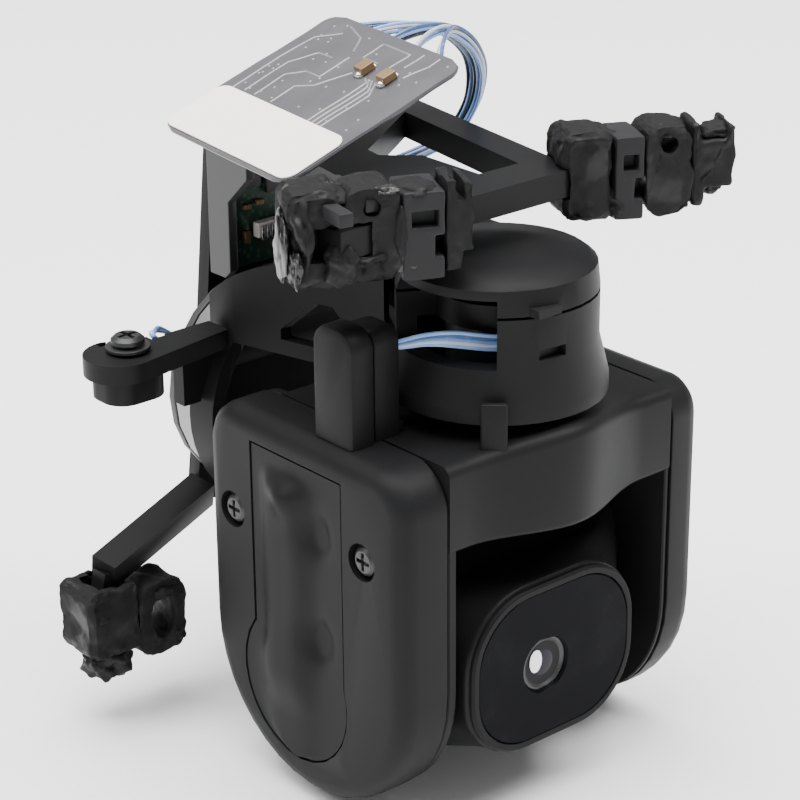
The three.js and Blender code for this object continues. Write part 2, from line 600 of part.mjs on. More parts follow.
function rightCover() {
  const shell = slab(armOutline(0, 4), 'x', RIGHT_SEAM - 4, YOKE_RIGHT, 2.2, 9);
  const trim = block(RIGHT_SEAM - 8, RIGHT_SEAM, -20, 40, -60, 10);
  const inside = slab(armOutline(1.5, 3), 'x', RIGHT_SEAM - 5, YOKE_RIGHT - 2.3);
  return cut(shell, trim, inside);
}
place(panStage, 'right_arm_cover', rightCover(), blackPlastic);

// The cable tower on the yoke: two shells that lead the cable up beside the pan housing.
function towerShell(y0, y1, x0, x1, top, bevel) {
  const outline = roundedRectangle((y0 + y1) / 2, (top - 6 + DECK_TOP) / 2, y1 - y0, top - DECK_TOP + 6, 2.2);
  return cut(slab(outline, 'x', x0, x1, bevel, 6), block(-40, 0, -20, 20, -20, DECK_TOP + GAP));
}
place(panStage, 'tower_front', towerShell(0.2, 6.4, -19.8, -16.6, 10.4, 0.5), blackPlastic);
place(panStage, 'tower_rear', towerShell(0.6, 6, -16.3, -13.4, 9.8, 0.4), blackPlastic);

// ---------------------------------------------------------------- tilt motor and pivot
const tiltAxis = (profile, segments = 24) => turned(profile, 'x', [0, TILT_Y, TILT_Z], segments);
place(panStage, 'tilt_stator', tiltAxis(ring(2.6, 8, -18.6, -16.2)), copper);
place(panStage, 'pivot_bearing', tiltAxis(ring(1.1, 2, 16.6, 18.4), 24), brightSteel);
place(tiltStage, 'tilt_shaft', tiltAxis(disc(1.4, -18.6, POD_LEFT + 1.2 - GAP), 24), brightSteel);
place(tiltStage, 'tilt_hub', tiltAxis(ring(1.7, 5.6, -15.9, POD_LEFT - GAP)), brightSteel);
place(tiltStage, 'pivot_pin', tiltAxis(disc(0.8, 15, 18.2), 20), brightSteel);

// ---------------------------------------------------------------- camera pod
function windowOutline(inset) {
  return roundedRectangle(POD_MIDDLE, TILT_Z - 0.4, WINDOW_WIDTH - 2 * inset, WINDOW_HEIGHT - 2 * inset,
    WINDOW_CORNER - inset);
}

function podBlank(inset) {
  const barrel = turned([[0, POD_LEFT + inset], [POD_RADIUS - 1.2 - inset, POD_LEFT + inset],
    [POD_RADIUS - inset, POD_LEFT + 1.2 + inset], [POD_RADIUS - inset, POD_RIGHT - 1.2 - inset],
    [POD_RADIUS - 1.2 - inset, POD_RIGHT - inset], [0, POD_RIGHT - inset]], 'x', [0, TILT_Y, TILT_Z], 32);
  const neck = slab(windowOutline(-0.6 + inset), 'y', WINDOW_Y + 1.2 + inset, TILT_Y, 0, 5);
  return join(barrel, neck);
}

function podShell(from, to) {
  const part = block(-30, 30, from, to, -60, 0);
  const shell = common(podBlank(0), part);
  const shaftHoles = turned(disc(1.7, -20, 0), 'x', [0, TILT_Y, TILT_Z], 24);
  const pinHole = turned(disc(1.1, 10, 30), 'x', [0, TILT_Y, TILT_Z], 24);
  const opening = slab(windowOutline(1.6), 'y', WINDOW_Y - 2, 0, 0, 6);
  return cut(shell, podBlank(1.2), shaftHoles, pinHole, opening);
}
place(tiltStage, 'pod_front_shell', podShell(WINDOW_Y, POD_SPLIT), greyPlastic);
place(tiltStage, 'pod_rear_shell', podShell(POD_SPLIT + GAP, 40), greyPlastic);

function windowRim() {
  const outer = slab(windowOutline(0), 'y', WINDOW_Y, WINDOW_Y + 0.9, 0.25, 6);
  return cut(outer, slab(windowOutline(0.9), 'y', WINDOW_Y - 1, WINDOW_Y + 2, 0, 6));
}
place(tiltStage, 'window_rim', windowRim(), rimGrey);
place(tiltStage, 'window_glass', slab(windowOutline(1.2), 'y', WINDOW_Y + 0.1, WINDOW_Y + 0.8, 0, 6), windowGlass);

const lensAxis = (profile, segments = 32) => turned(profile, 'y', [POD_MIDDLE, 0, TILT_Z - 0.4], segments);
place(tiltStage, 'lens_barrel', lensAxis([[3, -9.4], [4, -9.4], [5.2, -7], [5.2, 2], [2.4, 2], [2.4, -8],
  [3, -9.4]]), blackPlastic);
place(tiltStage, 'lens_element', lensAxis([[0, -8.6], [1.2, -8.4], [2.1, -7.8], [2.1, -6], [0, -6]], 24), lensGlass);
place(tiltStage, 'sensor_board', block(POD_MIDDLE - 7, POD_MIDDLE + 7, 2.4, 3.4, TILT_Z - 7, TILT_Z + 7), boardGreen);

// ---------------------------------------------------------------- flex board on the frame
const BOARD = { corner: [-19.9, 10, 23.6], length: 25, width: 23, thickness: 0.5,
  slope: 20, lean: 3.4, turn: -3.5 };

// Places a piece drawn on the board's own plane: u along its length, v along its width, w up.
function onBoard(geometry) {
  geometry.rotateX(THREE.MathUtils.degToRad(BOARD.lean));
  geometry.rotateY(-THREE.MathUtils.degToRad(BOARD.slope));
  geometry.rotateZ(THREE.MathUtils.degToRad(BOARD.turn));
  return geometry.translate(...BOARD.corner);
}
const boardShape = roundedRectangle(BOARD.length / 2, BOARD.width / 2, BOARD.length, BOARD.width, 2.2);
place(gimbal, 'flex_board', onBoard(slab(boardShape, 'z', 0, BOARD.thickness, 0, 4)), flexGrey);
const labelShape = roundedRectangle(4.6, BOARD.width / 2, 8.4, BOARD.width - 0.6, 1.6);
place(gimbal, 'board_label', onBoard(slab(labelShape, 'z', BOARD.thickness + 0.05, BOARD.thickness + 0.2, 0, 4)),
  paperWhite);
[[18.5, 9.4], [18.5, 5.6]].forEach(([u, v], index) => {
  place(gimbal, `board_chip_${index + 1}`, onBoard(block(u - 0.9, u + 0.9, v - 0.7, v + 0.7,
    BOARD.thickness + 0.1, BOARD.thickness + 1)), solderGold);
});

// ---------------------------------------------------------------- cables
// The harness leaves the flex board's high edge, arches over the frame's right bar and plugs into
// the control board from behind.
const HARNESS_ROUTE = [
  [4.7, 21.2, 32.4], [6.2, 21.2, 33], [7.9, 21.2, 33.3], [9.7, 21.2, 33.2], [11.5, 21.2, 32.7],
  [13.3, 21.4, 31.8], [15, 21.6, 30.5], [16.5, 22, 28.8], [17.6, 22.6, 26.9], [18.3, 23.4, 24.9], [18.6, 24.3, 22.8],
  [18.5, 25.4, 20.8], [18.2, 26.6, 19.1], [17.6, 28, 17.6], [16.7, 29.4, 16.4], [15.5, 30.8, 15.4],
  [14.1, 32, 14.6], [12.5, 33.1, 14], [10.8, 34, 13.6], [9.2, 34.6, 13.3], [8, 35.2, 13.1], [7.3, 35.8, 13], [7, 36.5, 13],
];
const HARNESS_DIAMETER = 2;
place(gimbal, 'upper_cable', wire(HARNESS_ROUTE, HARNESS_DIAMETER, 22), wireBlue);
place(gimbal, 'cable_plug', block(4, 10, 36.9, 39 - GAP, 11.9, 14.1), paperWhite);
place(gimbal, 'cable_tape', onBoard(slab(roundedRectangle(BOARD.length - 2.4, BOARD.width / 2, 4.6, 9, 0.8),
  'z', -1, -GAP, 0, 3)), blackTape);

// The pan cable comes out of the tower towards the open side of the pan housing.
place(panStage, 'pan_cable', wire([[-12.9, 1.4, 7.4], [-12.5, 0.4, 7.6], [-12.3, -0.8, 7.8], [-12.1, -2, 7.9]],
  0.9, 4), wireBlue);

gimbal.position.z = -RING_TOP;

export default gimbal;
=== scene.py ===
"""The looks of a small three-axis camera gimbal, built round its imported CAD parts."""
import json
import math
import random

import bmesh
import bpy
from mathutils import Matrix, Vector
from mathutils.noise import fractal, noise

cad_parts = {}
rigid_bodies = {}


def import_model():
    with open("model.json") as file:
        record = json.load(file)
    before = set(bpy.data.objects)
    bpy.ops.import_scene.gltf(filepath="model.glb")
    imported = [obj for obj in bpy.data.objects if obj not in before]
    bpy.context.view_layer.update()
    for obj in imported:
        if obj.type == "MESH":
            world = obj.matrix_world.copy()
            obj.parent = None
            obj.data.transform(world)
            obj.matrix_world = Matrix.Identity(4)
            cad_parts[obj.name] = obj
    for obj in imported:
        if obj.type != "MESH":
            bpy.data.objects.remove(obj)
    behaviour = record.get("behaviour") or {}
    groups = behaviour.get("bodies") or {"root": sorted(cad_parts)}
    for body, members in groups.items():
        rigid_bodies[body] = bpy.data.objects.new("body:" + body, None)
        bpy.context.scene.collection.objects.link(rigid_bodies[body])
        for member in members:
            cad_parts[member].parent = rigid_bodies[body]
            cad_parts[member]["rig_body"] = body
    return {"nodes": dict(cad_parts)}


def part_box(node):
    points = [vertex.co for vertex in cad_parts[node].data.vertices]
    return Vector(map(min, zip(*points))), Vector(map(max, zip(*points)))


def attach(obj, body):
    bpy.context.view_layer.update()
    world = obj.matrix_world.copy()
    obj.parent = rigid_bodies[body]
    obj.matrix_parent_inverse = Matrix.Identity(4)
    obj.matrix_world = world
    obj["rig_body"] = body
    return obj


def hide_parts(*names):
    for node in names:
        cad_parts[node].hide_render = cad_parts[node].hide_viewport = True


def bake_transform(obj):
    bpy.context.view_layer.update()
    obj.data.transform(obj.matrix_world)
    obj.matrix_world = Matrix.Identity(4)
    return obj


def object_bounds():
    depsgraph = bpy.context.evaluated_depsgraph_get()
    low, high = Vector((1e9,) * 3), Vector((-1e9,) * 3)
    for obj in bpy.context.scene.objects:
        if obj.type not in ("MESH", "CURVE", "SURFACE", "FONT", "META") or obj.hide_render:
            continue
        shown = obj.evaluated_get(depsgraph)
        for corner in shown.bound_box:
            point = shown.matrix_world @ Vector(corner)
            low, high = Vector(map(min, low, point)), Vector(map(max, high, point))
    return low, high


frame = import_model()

cad_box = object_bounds()
MM = 0.001
chance = random.Random(5)

# ------------------------------------------------------------------ camera
# A long lens looks down at the gimbal's front left. The view is aimed from the foot of the pan
# drum, which stands on the yoke; places are given in mm from that foot.
DRUM_GAP = 0.2 * MM
drum_foot = Vector((0, 0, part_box("pan_housing")[0].z - DRUM_GAP))
AZIMUTH = math.radians(-40.5)
ELEVATION = math.radians(22.5)
TILT = math.radians(-0.5)
DISTANCE = 266 * MM
AIM_RIGHT = -10.3 * MM
AIM_UP = -1.7 * MM


def at(x, y, z):
    """A place given in mm from the foot of the pan drum."""
    return drum_foot + Vector((x, y, z)) * MM


back = Vector((math.sin(AZIMUTH) * math.cos(ELEVATION), -math.cos(AZIMUTH) * math.cos(ELEVATION),
               math.sin(ELEVATION)))
right = Vector((math.cos(AZIMUTH), math.sin(AZIMUTH), 0))
up = back.cross(right)
turned_right = math.cos(TILT) * right + math.sin(TILT) * up
turned_up = math.cos(TILT) * up - math.sin(TILT) * right
aim = drum_foot + AIM_RIGHT * turned_right + AIM_UP * turned_up

lens = bpy.data.cameras.new("studio_camera")
lens.lens = 112.5
lens.sensor_width = 36
lens.clip_start = 0.01
camera = bpy.data.objects.new("studio_camera", lens)
bpy.context.scene.collection.objects.link(camera)
camera_place = Matrix((turned_right, turned_up, back)).transposed().to_4x4()
camera_place.translation = aim + DISTANCE * back
camera.matrix_world = camera_place
bpy.context.scene.camera = camera


# ------------------------------------------------------------------ finishes
# The shader helpers, and the plastics, rubbers, metals, films and glass that the pieces share.
class Wire:
    """A shader socket that arithmetic can be done on; each operation adds a Math node."""

    def __init__(self, recipe, socket):
        self.recipe = recipe
        self.socket = socket

    def math(self, operation, *values):
        return self.recipe.node("ShaderNodeMath", {"operation": operation}, list(values))

    def __add__(self, other):
        return self.math("ADD", self, other)

    def __radd__(self, other):
        return self.math("ADD", other, self)

    def __sub__(self, other):
        return self.math("SUBTRACT", self, other)

    def __rsub__(self, other):
        return self.math("SUBTRACT", other, self)

    def __mul__(self, other):
        return self.math("MULTIPLY", self, other)

    def __rmul__(self, other):
        return self.math("MULTIPLY", other, self)


class Finish:
    """A material and the method that adds nodes to it."""

    def __init__(self, name, **constants):
        self.material = bpy.data.materials.new(name)
        self.material.use_nodes = True
        self.tree = self.material.node_tree
        self.surface = self.tree.nodes["Principled BSDF"]
        for socket, value in constants.items():
            self.surface.inputs[socket.replace("_", " ")].default_value = value
        self.place = self.node("ShaderNodeTexCoord", {}, {}, "Object")

    def node(self, kind, settings, sockets, output=0):
        made = self.tree.nodes.new(kind)
        for key, value in settings.items():
            setattr(made, key, value)
        pairs = sockets.items() if isinstance(sockets, dict) else enumerate(sockets)
        for key, value in pairs:
            if isinstance(value, Wire):
                self.tree.links.new(value.socket, made.inputs[key])
            else:
                made.inputs[key].default_value = value
        return Wire(self, made.outputs[output])

    def feed(self, socket, wire):
        self.tree.links.new(wire.socket, self.surface.inputs[socket])

    def grain(self, per_metre, detail=3, roughness=0.55, stretch=(1, 1, 1)):
        place = self.node("ShaderNodeVectorMath", {"operation": "MULTIPLY"}, [self.place, stretch])
        return self.node("ShaderNodeTexNoise", {}, {"Vector": place, "Scale": per_metre, "Detail": detail,
                                                    "Roughness": roughness})

    def between(self, value, low, high, out_low=0.0, out_high=1.0):
        return self.node("ShaderNodeMapRange", {"interpolation_type": "SMOOTHSTEP"},
                         {"Value": value, "From Min": low, "From Max": high, "To Min": out_low,
                          "To Max": out_high})

    def blend(self, amount, first, second):
        return self.node("ShaderNodeMix", {"data_type": "RGBA"}, {0: amount, 6: first, 7: second}, 2)

    def bump(self, height, strength, distance):
        return self.node("ShaderNodeBump", {}, {"Strength": strength, "Distance": distance,
                                                "Height": height})


def grey(value, blue=1.06):
    return (value, value, value * blue, 1)


def moulded(name, dark, light, rough, grain_depth=0.005 * MM, grain_scale=8000, dust=0.1):
    """Textured moulding resin: a fine sparked grain, soft patches of sheen and a little dust."""
    finish = Finish(name, Specular_IOR_Level=0.08)
    patches = finish.grain(130, 4)
    specks = finish.grain(grain_scale, 2, 0.7)
    dusting = finish.between(finish.grain(2600, 5, 0.75), 0.62, 0.8, 0, dust)
    body = finish.blend(patches, grey(dark), grey(light))
    finish.feed("Base Color", finish.blend(dusting, body, (0.2, 0.19, 0.18, 1)))
    finish.feed("Roughness", rough - 0.1 + 0.12 * patches + 0.1 * specks)
    finish.feed("Normal", finish.bump(specks, 0.7, grain_depth))
    return finish.material


def rubbery(name, dark, light, gloss_patches):
    """Soft black rubber: lumpy skin, dull patches and shiny smears of glue."""
    finish = Finish(name, Specular_IOR_Level=0.2)
    lumps = finish.grain(900, 5, 0.65)
    smears = finish.between(finish.grain(240, 3), 0.5, 0.62)
    lint = finish.between(finish.grain(3400, 4, 0.8), 0.66, 0.78, 0, 0.16)
    finish.feed("Base Color", finish.blend(lint, finish.blend(lumps, grey(dark), grey(light)),
                                           (0.16, 0.155, 0.15, 1)))
    finish.feed("Roughness", 0.62 + 0.2 * lumps - gloss_patches * smears)
    finish.feed("Normal", finish.bump(lumps, 0.8, 0.06 * MM))
    return finish.material


def metal(name, dark, light, rough, stretch=(1, 1, 1), metallic=1.0):
    """Bare or plated metal with fine tool marks drawn out along one direction."""
    finish = Finish(name, Metallic=metallic)
    marks = finish.grain(5200, 4, 0.6, stretch)
    stains = finish.grain(350, 4)
    finish.feed("Base Color", finish.blend(stains, dark, light))
    finish.feed("Roughness", rough - 0.1 + 0.12 * marks + 0.12 * stains)
    finish.feed("Normal", finish.bump(marks, 0.5, 0.003 * MM))
    return finish.material


arm_resin = moulded("arm_resin", 0.0075, 0.0115, 0.46)
frame_resin = moulded("frame_resin", 0.007, 0.0105, 0.4, 0.003 * MM)
pod_resin = moulded("pod_resin", 0.007, 0.0105, 0.38, 0.003 * MM, 10000, 0.06)
clip_resin = moulded("clip_resin", 0.016, 0.023, 0.36, 0.003 * MM)
damper_rubber = rubbery("damper_rubber", 0.0035, 0.008, 0.3)
cast_paint = metal("cast_paint", grey(0.022, 1), grey(0.036, 1), 0.5, metallic=0.1)
motor_can = metal("motor_can", (0.2, 0.195, 0.2, 1), (0.3, 0.29, 0.3, 1), 0.42, (1, 0.05, 1))
bright_steel = metal("bright_steel", (0.5, 0.49, 0.5, 1), (0.66, 0.64, 0.65, 1), 0.34, (1, 0.05, 1))
black_screw = metal("black_screw", grey(0.012), grey(0.024), 0.42, (0.2, 1, 1), 0.2)
copper_wire = metal("copper_wire", (0.42, 0.16, 0.05, 1), (0.62, 0.28, 0.1, 1), 0.38, (1, 1, 8))

board_mask = Finish("board_mask", Coat_Weight=0.5, Coat_Roughness=0.2)
pads = board_mask.node("ShaderNodeTexVoronoi", {"distance": "CHEBYCHEV"},
                       {"Vector": board_mask.place, "Scale": 1300}, "Distance")
board_mask.feed("Base Color", board_mask.blend(board_mask.between(pads, 0.25, 0.32), (0.02, 0.1, 0.045, 1),
                                               (0.006, 0.034, 0.018, 1)))
board_mask.feed("Roughness", 0.3 + 0.2 * board_mask.grain(1500))
board_green = board_mask.material

film = Finish("flex_film", Specular_IOR_Level=0.4, Coat_Weight=0.1, Coat_Roughness=0.3)
folds = film.grain(95, 2, 0.4, (1, 1.6, 1))
weave = film.grain(4200, 3, 0.6)
film.feed("Base Color", film.blend(film.grain(160, 3), (0.05, 0.049, 0.056, 1), (0.085, 0.083, 0.092, 1)))
film.feed("Roughness", 0.3 + 0.1 * weave + 0.12 * folds)
film.feed("Normal", film.bump(folds + 0.02 * weave, 0.9, 0.5 * MM))
flex_film = film.material

trace_film = metal("trace_film", (0.17, 0.165, 0.175, 1), (0.23, 0.225, 0.235, 1), 0.34, metallic=0.3)
solder = metal("solder", (0.5, 0.5, 0.48, 1), (0.7, 0.7, 0.68, 1), 0.25)
chip_body = metal("chip_body", (0.16, 0.1, 0.045, 1), (0.3, 0.2, 0.1, 1), 0.35, metallic=0.4)

paper = Finish("label_paper", Specular_IOR_Level=0.3)
fibres = paper.grain(2800, 5, 0.7, (1, 3, 1))
paper.feed("Base Color", paper.blend(fibres, (0.93, 0.86, 0.80, 1), (0.98, 0.94, 0.90, 1)))
paper.feed("Roughness", 0.55 + 0.15 * fibres)
paper.feed("Normal", paper.bump(fibres, 0.4, 0.01 * MM))
label_paper = paper.material

tinted = Finish("tinted_glass", Specular_IOR_Level=0.03)
smudges = tinted.between(tinted.grain(170, 4), 0.45, 0.7)
tinted.feed("Base Color", tinted.blend(smudges, (0.003, 0.003, 0.004, 1), (0.005, 0.005, 0.0065, 1)))
tinted.feed("Roughness", 0.2 + 0.1 * smudges)
window_black = tinted.material

coated = Finish("coated_lens", Specular_IOR_Level=0.12, Coat_Weight=0.05, Coat_Roughness=0.02)
coating = coated.grain(500, 2)
coated.feed("Base Color", coated.blend(coating, (0.004, 0.005, 0.012, 1), (0.010, 0.006, 0.014, 1)))
coated.feed("Roughness", 0.08 + 0.05 * coating)
lens_glass = coated.material

rim_paint = moulded("rim_paint", 0.006, 0.009, 0.5, 0.002 * MM)
lens_cell = metal("lens_cell", grey(0.012), grey(0.022), 0.4, metallic=0.1)
# Near-white and not metal: the colour of the painted highlight on the lens.
painted_lens_glint = metal("painted_lens_glint", (0.9, 0.9, 0.9, 1), (0.97, 0.97, 0.97, 1), 0.4, metallic=0)
black_tape = moulded("black_tape", 0.012, 0.02, 0.42, 0.02 * MM, 1600)


def insulation(name, colour):
    """Thin coax jacket: slightly glossy, with rubbed places a little paler."""
    finish = Finish(name, Specular_IOR_Level=0.5, Coat_Weight=0.2, Coat_Roughness=0.2)
    rubbed = finish.grain(700, 3)
    pale = tuple(min(1, 0.65 * channel + 0.3) for channel in colour) + (1,)
    finish.feed("Base Color", finish.blend(finish.between(rubbed, 0.5, 0.9), (*colour, 1), pale))
    finish.feed("Roughness", 0.32 + 0.15 * rubbed)
    return finish.material


JACKETS = {
    "pale_blue": insulation("jacket_pale_blue", (0.22, 0.38, 0.72)),
    "sky_blue": insulation("jacket_sky_blue", (0.13, 0.25, 0.55)),
    "steel_blue": insulation("jacket_steel_blue", (0.05, 0.10, 0.22)),
    "white": insulation("jacket_white", (0.50, 0.52, 0.56)),
    "black": insulation("jacket_black", (0.012, 0.013, 0.018)),
}


# ------------------------------------------------------------------ harness
# Fourteen micro-coax wires run from under the flex board's high edge, are taped into one bundle,
# arch over the frame and come down to the plug on the control board.
def finished_object(name, shape, material, body, smooth=38):
    """Turns a bmesh into a piece that rides on one body."""
    bmesh.ops.recalc_face_normals(shape, faces=shape.faces)
    mesh = bpy.data.meshes.new(name)
    shape.to_mesh(mesh)
    shape.free()
    mesh.shade_smooth()
    mesh.set_sharp_from_angle(angle=math.radians(smooth))
    mesh.materials.append(material)
    piece = bpy.data.objects.new(name, mesh)
    bpy.context.scene.collection.objects.link(piece)
    if body:
        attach(piece, body)
    return piece


def smooth_line(points, steps):
    """A Catmull-Rom line through the points, with the given number of steps between each pair."""
    ends = [2 * points[0] - points[1], *points, 2 * points[-1] - points[-2]]
    line = []
    for before, start, end, after in zip(ends, ends[1:], ends[2:], ends[3:]):
        for step in range(steps):
            t = step / steps
            line.append(0.5 * (2 * start + (end - before) * t
                               + (2 * before - 5 * start + 4 * end - after) * t * t
                               + (3 * start - before - 3 * end + after) * t ** 3))
    line.append(points[-1])
    return line


def line_frames(line):
    """Two directions square to the line at each of its points, turning as little as they can."""
    tangents = [(line[min(i + 1, len(line) - 1)] - line[max(i - 1, 0)]).normalized()
                for i in range(len(line))]
    side = tangents[0].orthogonal().normalized()
    frames = []
    for tangent in tangents:
        side = (side - tangent * side.dot(tangent)).normalized()
        frames.append((side.copy(), tangent.cross(side)))
    return frames


def tube(name, line, diameter, material, body, sides=10):
    """A closed round tube that follows a line."""
    shape = bmesh.new()
    rings = []
    for place, (side, other) in zip(line, line_frames(line)):
        turn = [2 * math.pi * i / sides for i in range(sides)]
        rings.append([shape.verts.new(place + diameter / 2 * (math.cos(a) * side + math.sin(a) * other))
                      for a in turn])
    for low, high in zip(rings, rings[1:]):
        for i in range(sides):
            shape.faces.new((low[i], low[(i + 1) % sides], high[(i + 1) % sides], high[i]))
    shape.faces.new(rings[0])
    shape.faces.new(rings[-1])
    return finished_object(name, shape, material, body)


def line_length(line):
    return sum((b - a).length for a, b in zip(line, line[1:]))


HARNESS_ROUTE = [at(*place) for place in (
    (4.7, 21.2, 32.4), (6.2, 21.2, 33), (7.9, 21.2, 33.3), (9.7, 21.2, 33.2), (11.5, 21.2, 32.7),
    (13.3, 21.4, 31.8), (15, 21.6, 30.5), (16.5, 22, 28.8), (17.6, 22.6, 26.9), (18.3, 23.4, 24.9),
    (18.6, 24.3, 22.8), (18.5, 25.4, 20.8), (18.2, 26.6, 19.1), (17.6, 28, 17.6), (16.7, 29.4, 16.4),
    (15.5, 30.8, 15.4), (14.1, 32, 14.6), (12.5, 33.1, 14), (10.8, 34, 13.6), (9.2, 34.6, 13.3),
    (8, 35.2, 13.1), (7.3, 35.8, 13), (7, 36.5, 13))]
WIRE_COLOURS = ["pale_blue", "white", "steel_blue", "pale_blue", "sky_blue", "white", "black", "pale_blue",
                "steel_blue", "sky_blue", "white", "pale_blue", "black", "sky_blue"]
WIRE_DIAMETER = 0.46 * MM
FAN_POINTS = 4                   # the wires spread out to the board over this many route points


def bundle_place(index, count):
    """Where a wire lies in the bundle's section: a flat oval, three wires deep."""
    row = index % 3 - 1
    column = (index // 3) / (count / 3 - 1) * 2 - 1
    return 1.45 * MM * column, 0.5 * MM * row


def harness_line(index, count):
    across, deep = bundle_place(index, count)
    line = []
    for step, place in enumerate(HARNESS_ROUTE):
        fan = max(0.0, 1 - step / FAN_POINTS)
        wander = noise(Vector((index * 3.1, step * 0.45, 2.0))) * 0.22 * MM
        y_spread = across * (1 + 5.2 * fan)
        sideways = Vector((0, y_spread, 0)) * (1 - step / 30)
        upwards = (deep + wander) * Vector((0.6, 0, 0.8))
        tucked_in = Vector((2.0 * MM * fan, 0, (0.5 * MM + 0.4 * abs(deep)) * fan))
        line.append(place + sideways + upwards - tucked_in)
    return smooth_line(line, 3)


cable_plug = frame["nodes"]["cable_plug"]
cable_tape = frame["nodes"]["cable_tape"]
for index, colour in enumerate(WIRE_COLOURS):
    line = harness_line(index, len(WIRE_COLOURS))
    wire = tube(f"harness_wire_{index + 1}", line, WIRE_DIAMETER, JACKETS[colour], "root", 8)
    line_length(line)
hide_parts("upper_cable")

# The pan cable: five wires side by side from the tower into the open side of the pan housing,
# where they go half round the motor's core with slack for the pan joint.
CORE_WRAP = 7.5
PAN_START = (-13.2, 1.4, 7.4)
PAN_INSIDE = (-6.9, -3.95, 7.8)
wrap_angles = [math.radians(a) for a in range(222, 391, 12)]
pan_route = [PAN_START, (-12.1, 0.45, 7.7), (-10.9, -0.6, 8.0), (-9.6, -1.7, 8.1), (-8.2, -2.85, 8.0),
             PAN_INSIDE]
pan_route += [(CORE_WRAP * math.cos(a), CORE_WRAP * math.sin(a), 7.6) for a in wrap_angles]
for index, colour in enumerate(["pale_blue", "white", "sky_blue", "steel_blue", "pale_blue"]):
    lift = (index - 2) * 0.38
    line = smooth_line([at(x, y - 0.12 * lift, z + lift * (0.45 + 0.55 * min(1, i / 4)))
                        for i, (x, y, z) in enumerate(pan_route)], 4)
    wire = tube(f"pan_wire_{index + 1}", line, WIRE_DIAMETER, JACKETS[colour], None, 8)
    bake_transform(wire)
    line_length(line)
    if index == 0:
        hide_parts("pan_cable")


# ------------------------------------------------------------------ plain pieces
# Moulded, turned and cut parts that keep their CAD shape. Each gets its finish, and most get eased edges.
def cleaned(node):
    """The node's shape with its facets joined into whole flat faces."""
    shape = bmesh.new()
    shape.from_mesh(frame["nodes"][node].data)
    bmesh.ops.remove_doubles(shape, verts=shape.verts, dist=0.003 * MM)
    bmesh.ops.dissolve_limit(shape, angle_limit=math.radians(1), verts=shape.verts, edges=shape.edges)
    return shape


def eased(node, material, edge=0.15 * MM, smooth=38):
    """A copy of a CAD node with small rounds on its edges, which is shown in the node's place."""
    piece = finished_object(f"{node}_finished", cleaned(node), material, None, smooth)
    if edge:
        rounds = piece.modifiers.new("eased_edges", "BEVEL")
        rounds.width = edge
        rounds.segments = 2
        rounds.limit_method = "ANGLE"
        rounds.angle_limit = math.radians(smooth)
        rounds.harden_normals = True
        rounds.use_clamp_overlap = True
    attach(piece, frame["nodes"][node]["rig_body"])
    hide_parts(node)
    return piece


eased("damper_frame", frame_resin, 0.25 * MM)
eased("rear_bracket", cast_paint, 0.12 * MM)
eased("control_board", board_green, 0)
eased("roll_motor_base", cast_paint, 0.2 * MM)
eased("roll_stator", copper_wire, 0)
eased("roll_bearing", bright_steel, 0.1 * MM)
eased("roll_motor_bell", motor_can, 0.25 * MM)
eased("roll_magnets", black_screw, 0)
eased("roll_shaft", bright_steel, 0.1 * MM)
eased("roll_arm", arm_resin, 0.3 * MM)
eased("pan_housing", arm_resin, 0.12 * MM)
eased("pan_lid", arm_resin, 0.2 * MM)
eased("pan_stator", black_screw, 0)
eased("pan_bearing", bright_steel, 0.1 * MM)
eased("pan_motor_bell", black_screw, 0.1 * MM)
eased("pan_shaft", bright_steel, 0.1 * MM)
eased("left_arm_cover", arm_resin, 0.12 * MM)
eased("right_arm_cover", arm_resin, 0.12 * MM)
eased("tilt_stator", copper_wire, 0)
eased("pivot_bearing", bright_steel, 0.1 * MM)
eased("tilt_shaft", bright_steel, 0.1 * MM)
eased("tilt_hub", bright_steel, 0.1 * MM)
eased("pivot_pin", bright_steel, 0.1 * MM)
eased("pod_rear_shell", pod_resin, 0.2 * MM)
eased("sensor_board", board_green, 0)
eased("cable_clamp", arm_resin, 0.25 * MM)
eased("clamp_washer", black_screw, 0.08 * MM)
eased("clamp_screw", black_screw, 0.06 * MM)
eased("cover_screw_1", black_screw, 0.05 * MM)
eased("cover_screw_2", black_screw, 0.05 * MM)
eased("window_rim", rim_paint, 0.08 * MM)
eased("lens_barrel", lens_cell, 0.12 * MM)
eased("board_label", label_paper, 0.04 * MM)
for chip in ("board_chip_1", "board_chip_2"):
    eased(chip, chip_body, 0.08 * MM)
cable_plug.data.materials.clear()
cable_plug.data.materials.append(label_paper)
cable_tape.data.materials.clear()
cable_tape.data.materials.append(black_tape)


# ------------------------------------------------------------------ yoke
# One moulding: a crossbar that swells out round the pan motor, with the inner wall of each arm at
# its ends and a square stop standing on it beside the drum.
def loft(sections):
    """A closed skin over a row of outlines that all have the same number of points."""
    shape = bmesh.new()
    rows = [[shape.verts.new(place) for place in outline] for outline in sections]
    count = len(rows[0])
    for low, high in zip(rows, rows[1:]):
        for i in range(count):
            shape.faces.new((low[i], low[(i + 1) % count], high[(i + 1) % count], high[i]))
    shape.faces.new(rows[0])
    shape.faces.new(rows[-1])
    return shape


def ease(value):
    """A smooth step from 0 to 1."""
    value = max(0.0, min(1.0, value))
    return value * value * (3 - 2 * value)


def mix(first, second, amount):
    return first + (second - first) * amount


FRONT = -9.7
DECK_TOP = -2.2
DECK_BOTTOM = -11.9
SWELL_HALF = 12.6                # the swelling fades out this far from the pan axis
SWELL_OUT = 3.4
SWELL_UP = 1.5


def corner_arc(centre_y, centre_z, radius, start, end, steps=6):
    angles = [math.radians(mix(start, end, i / steps)) for i in range(steps + 1)]
    return [(centre_y + radius * math.cos(a), centre_z + radius * math.sin(a)) for a in angles]


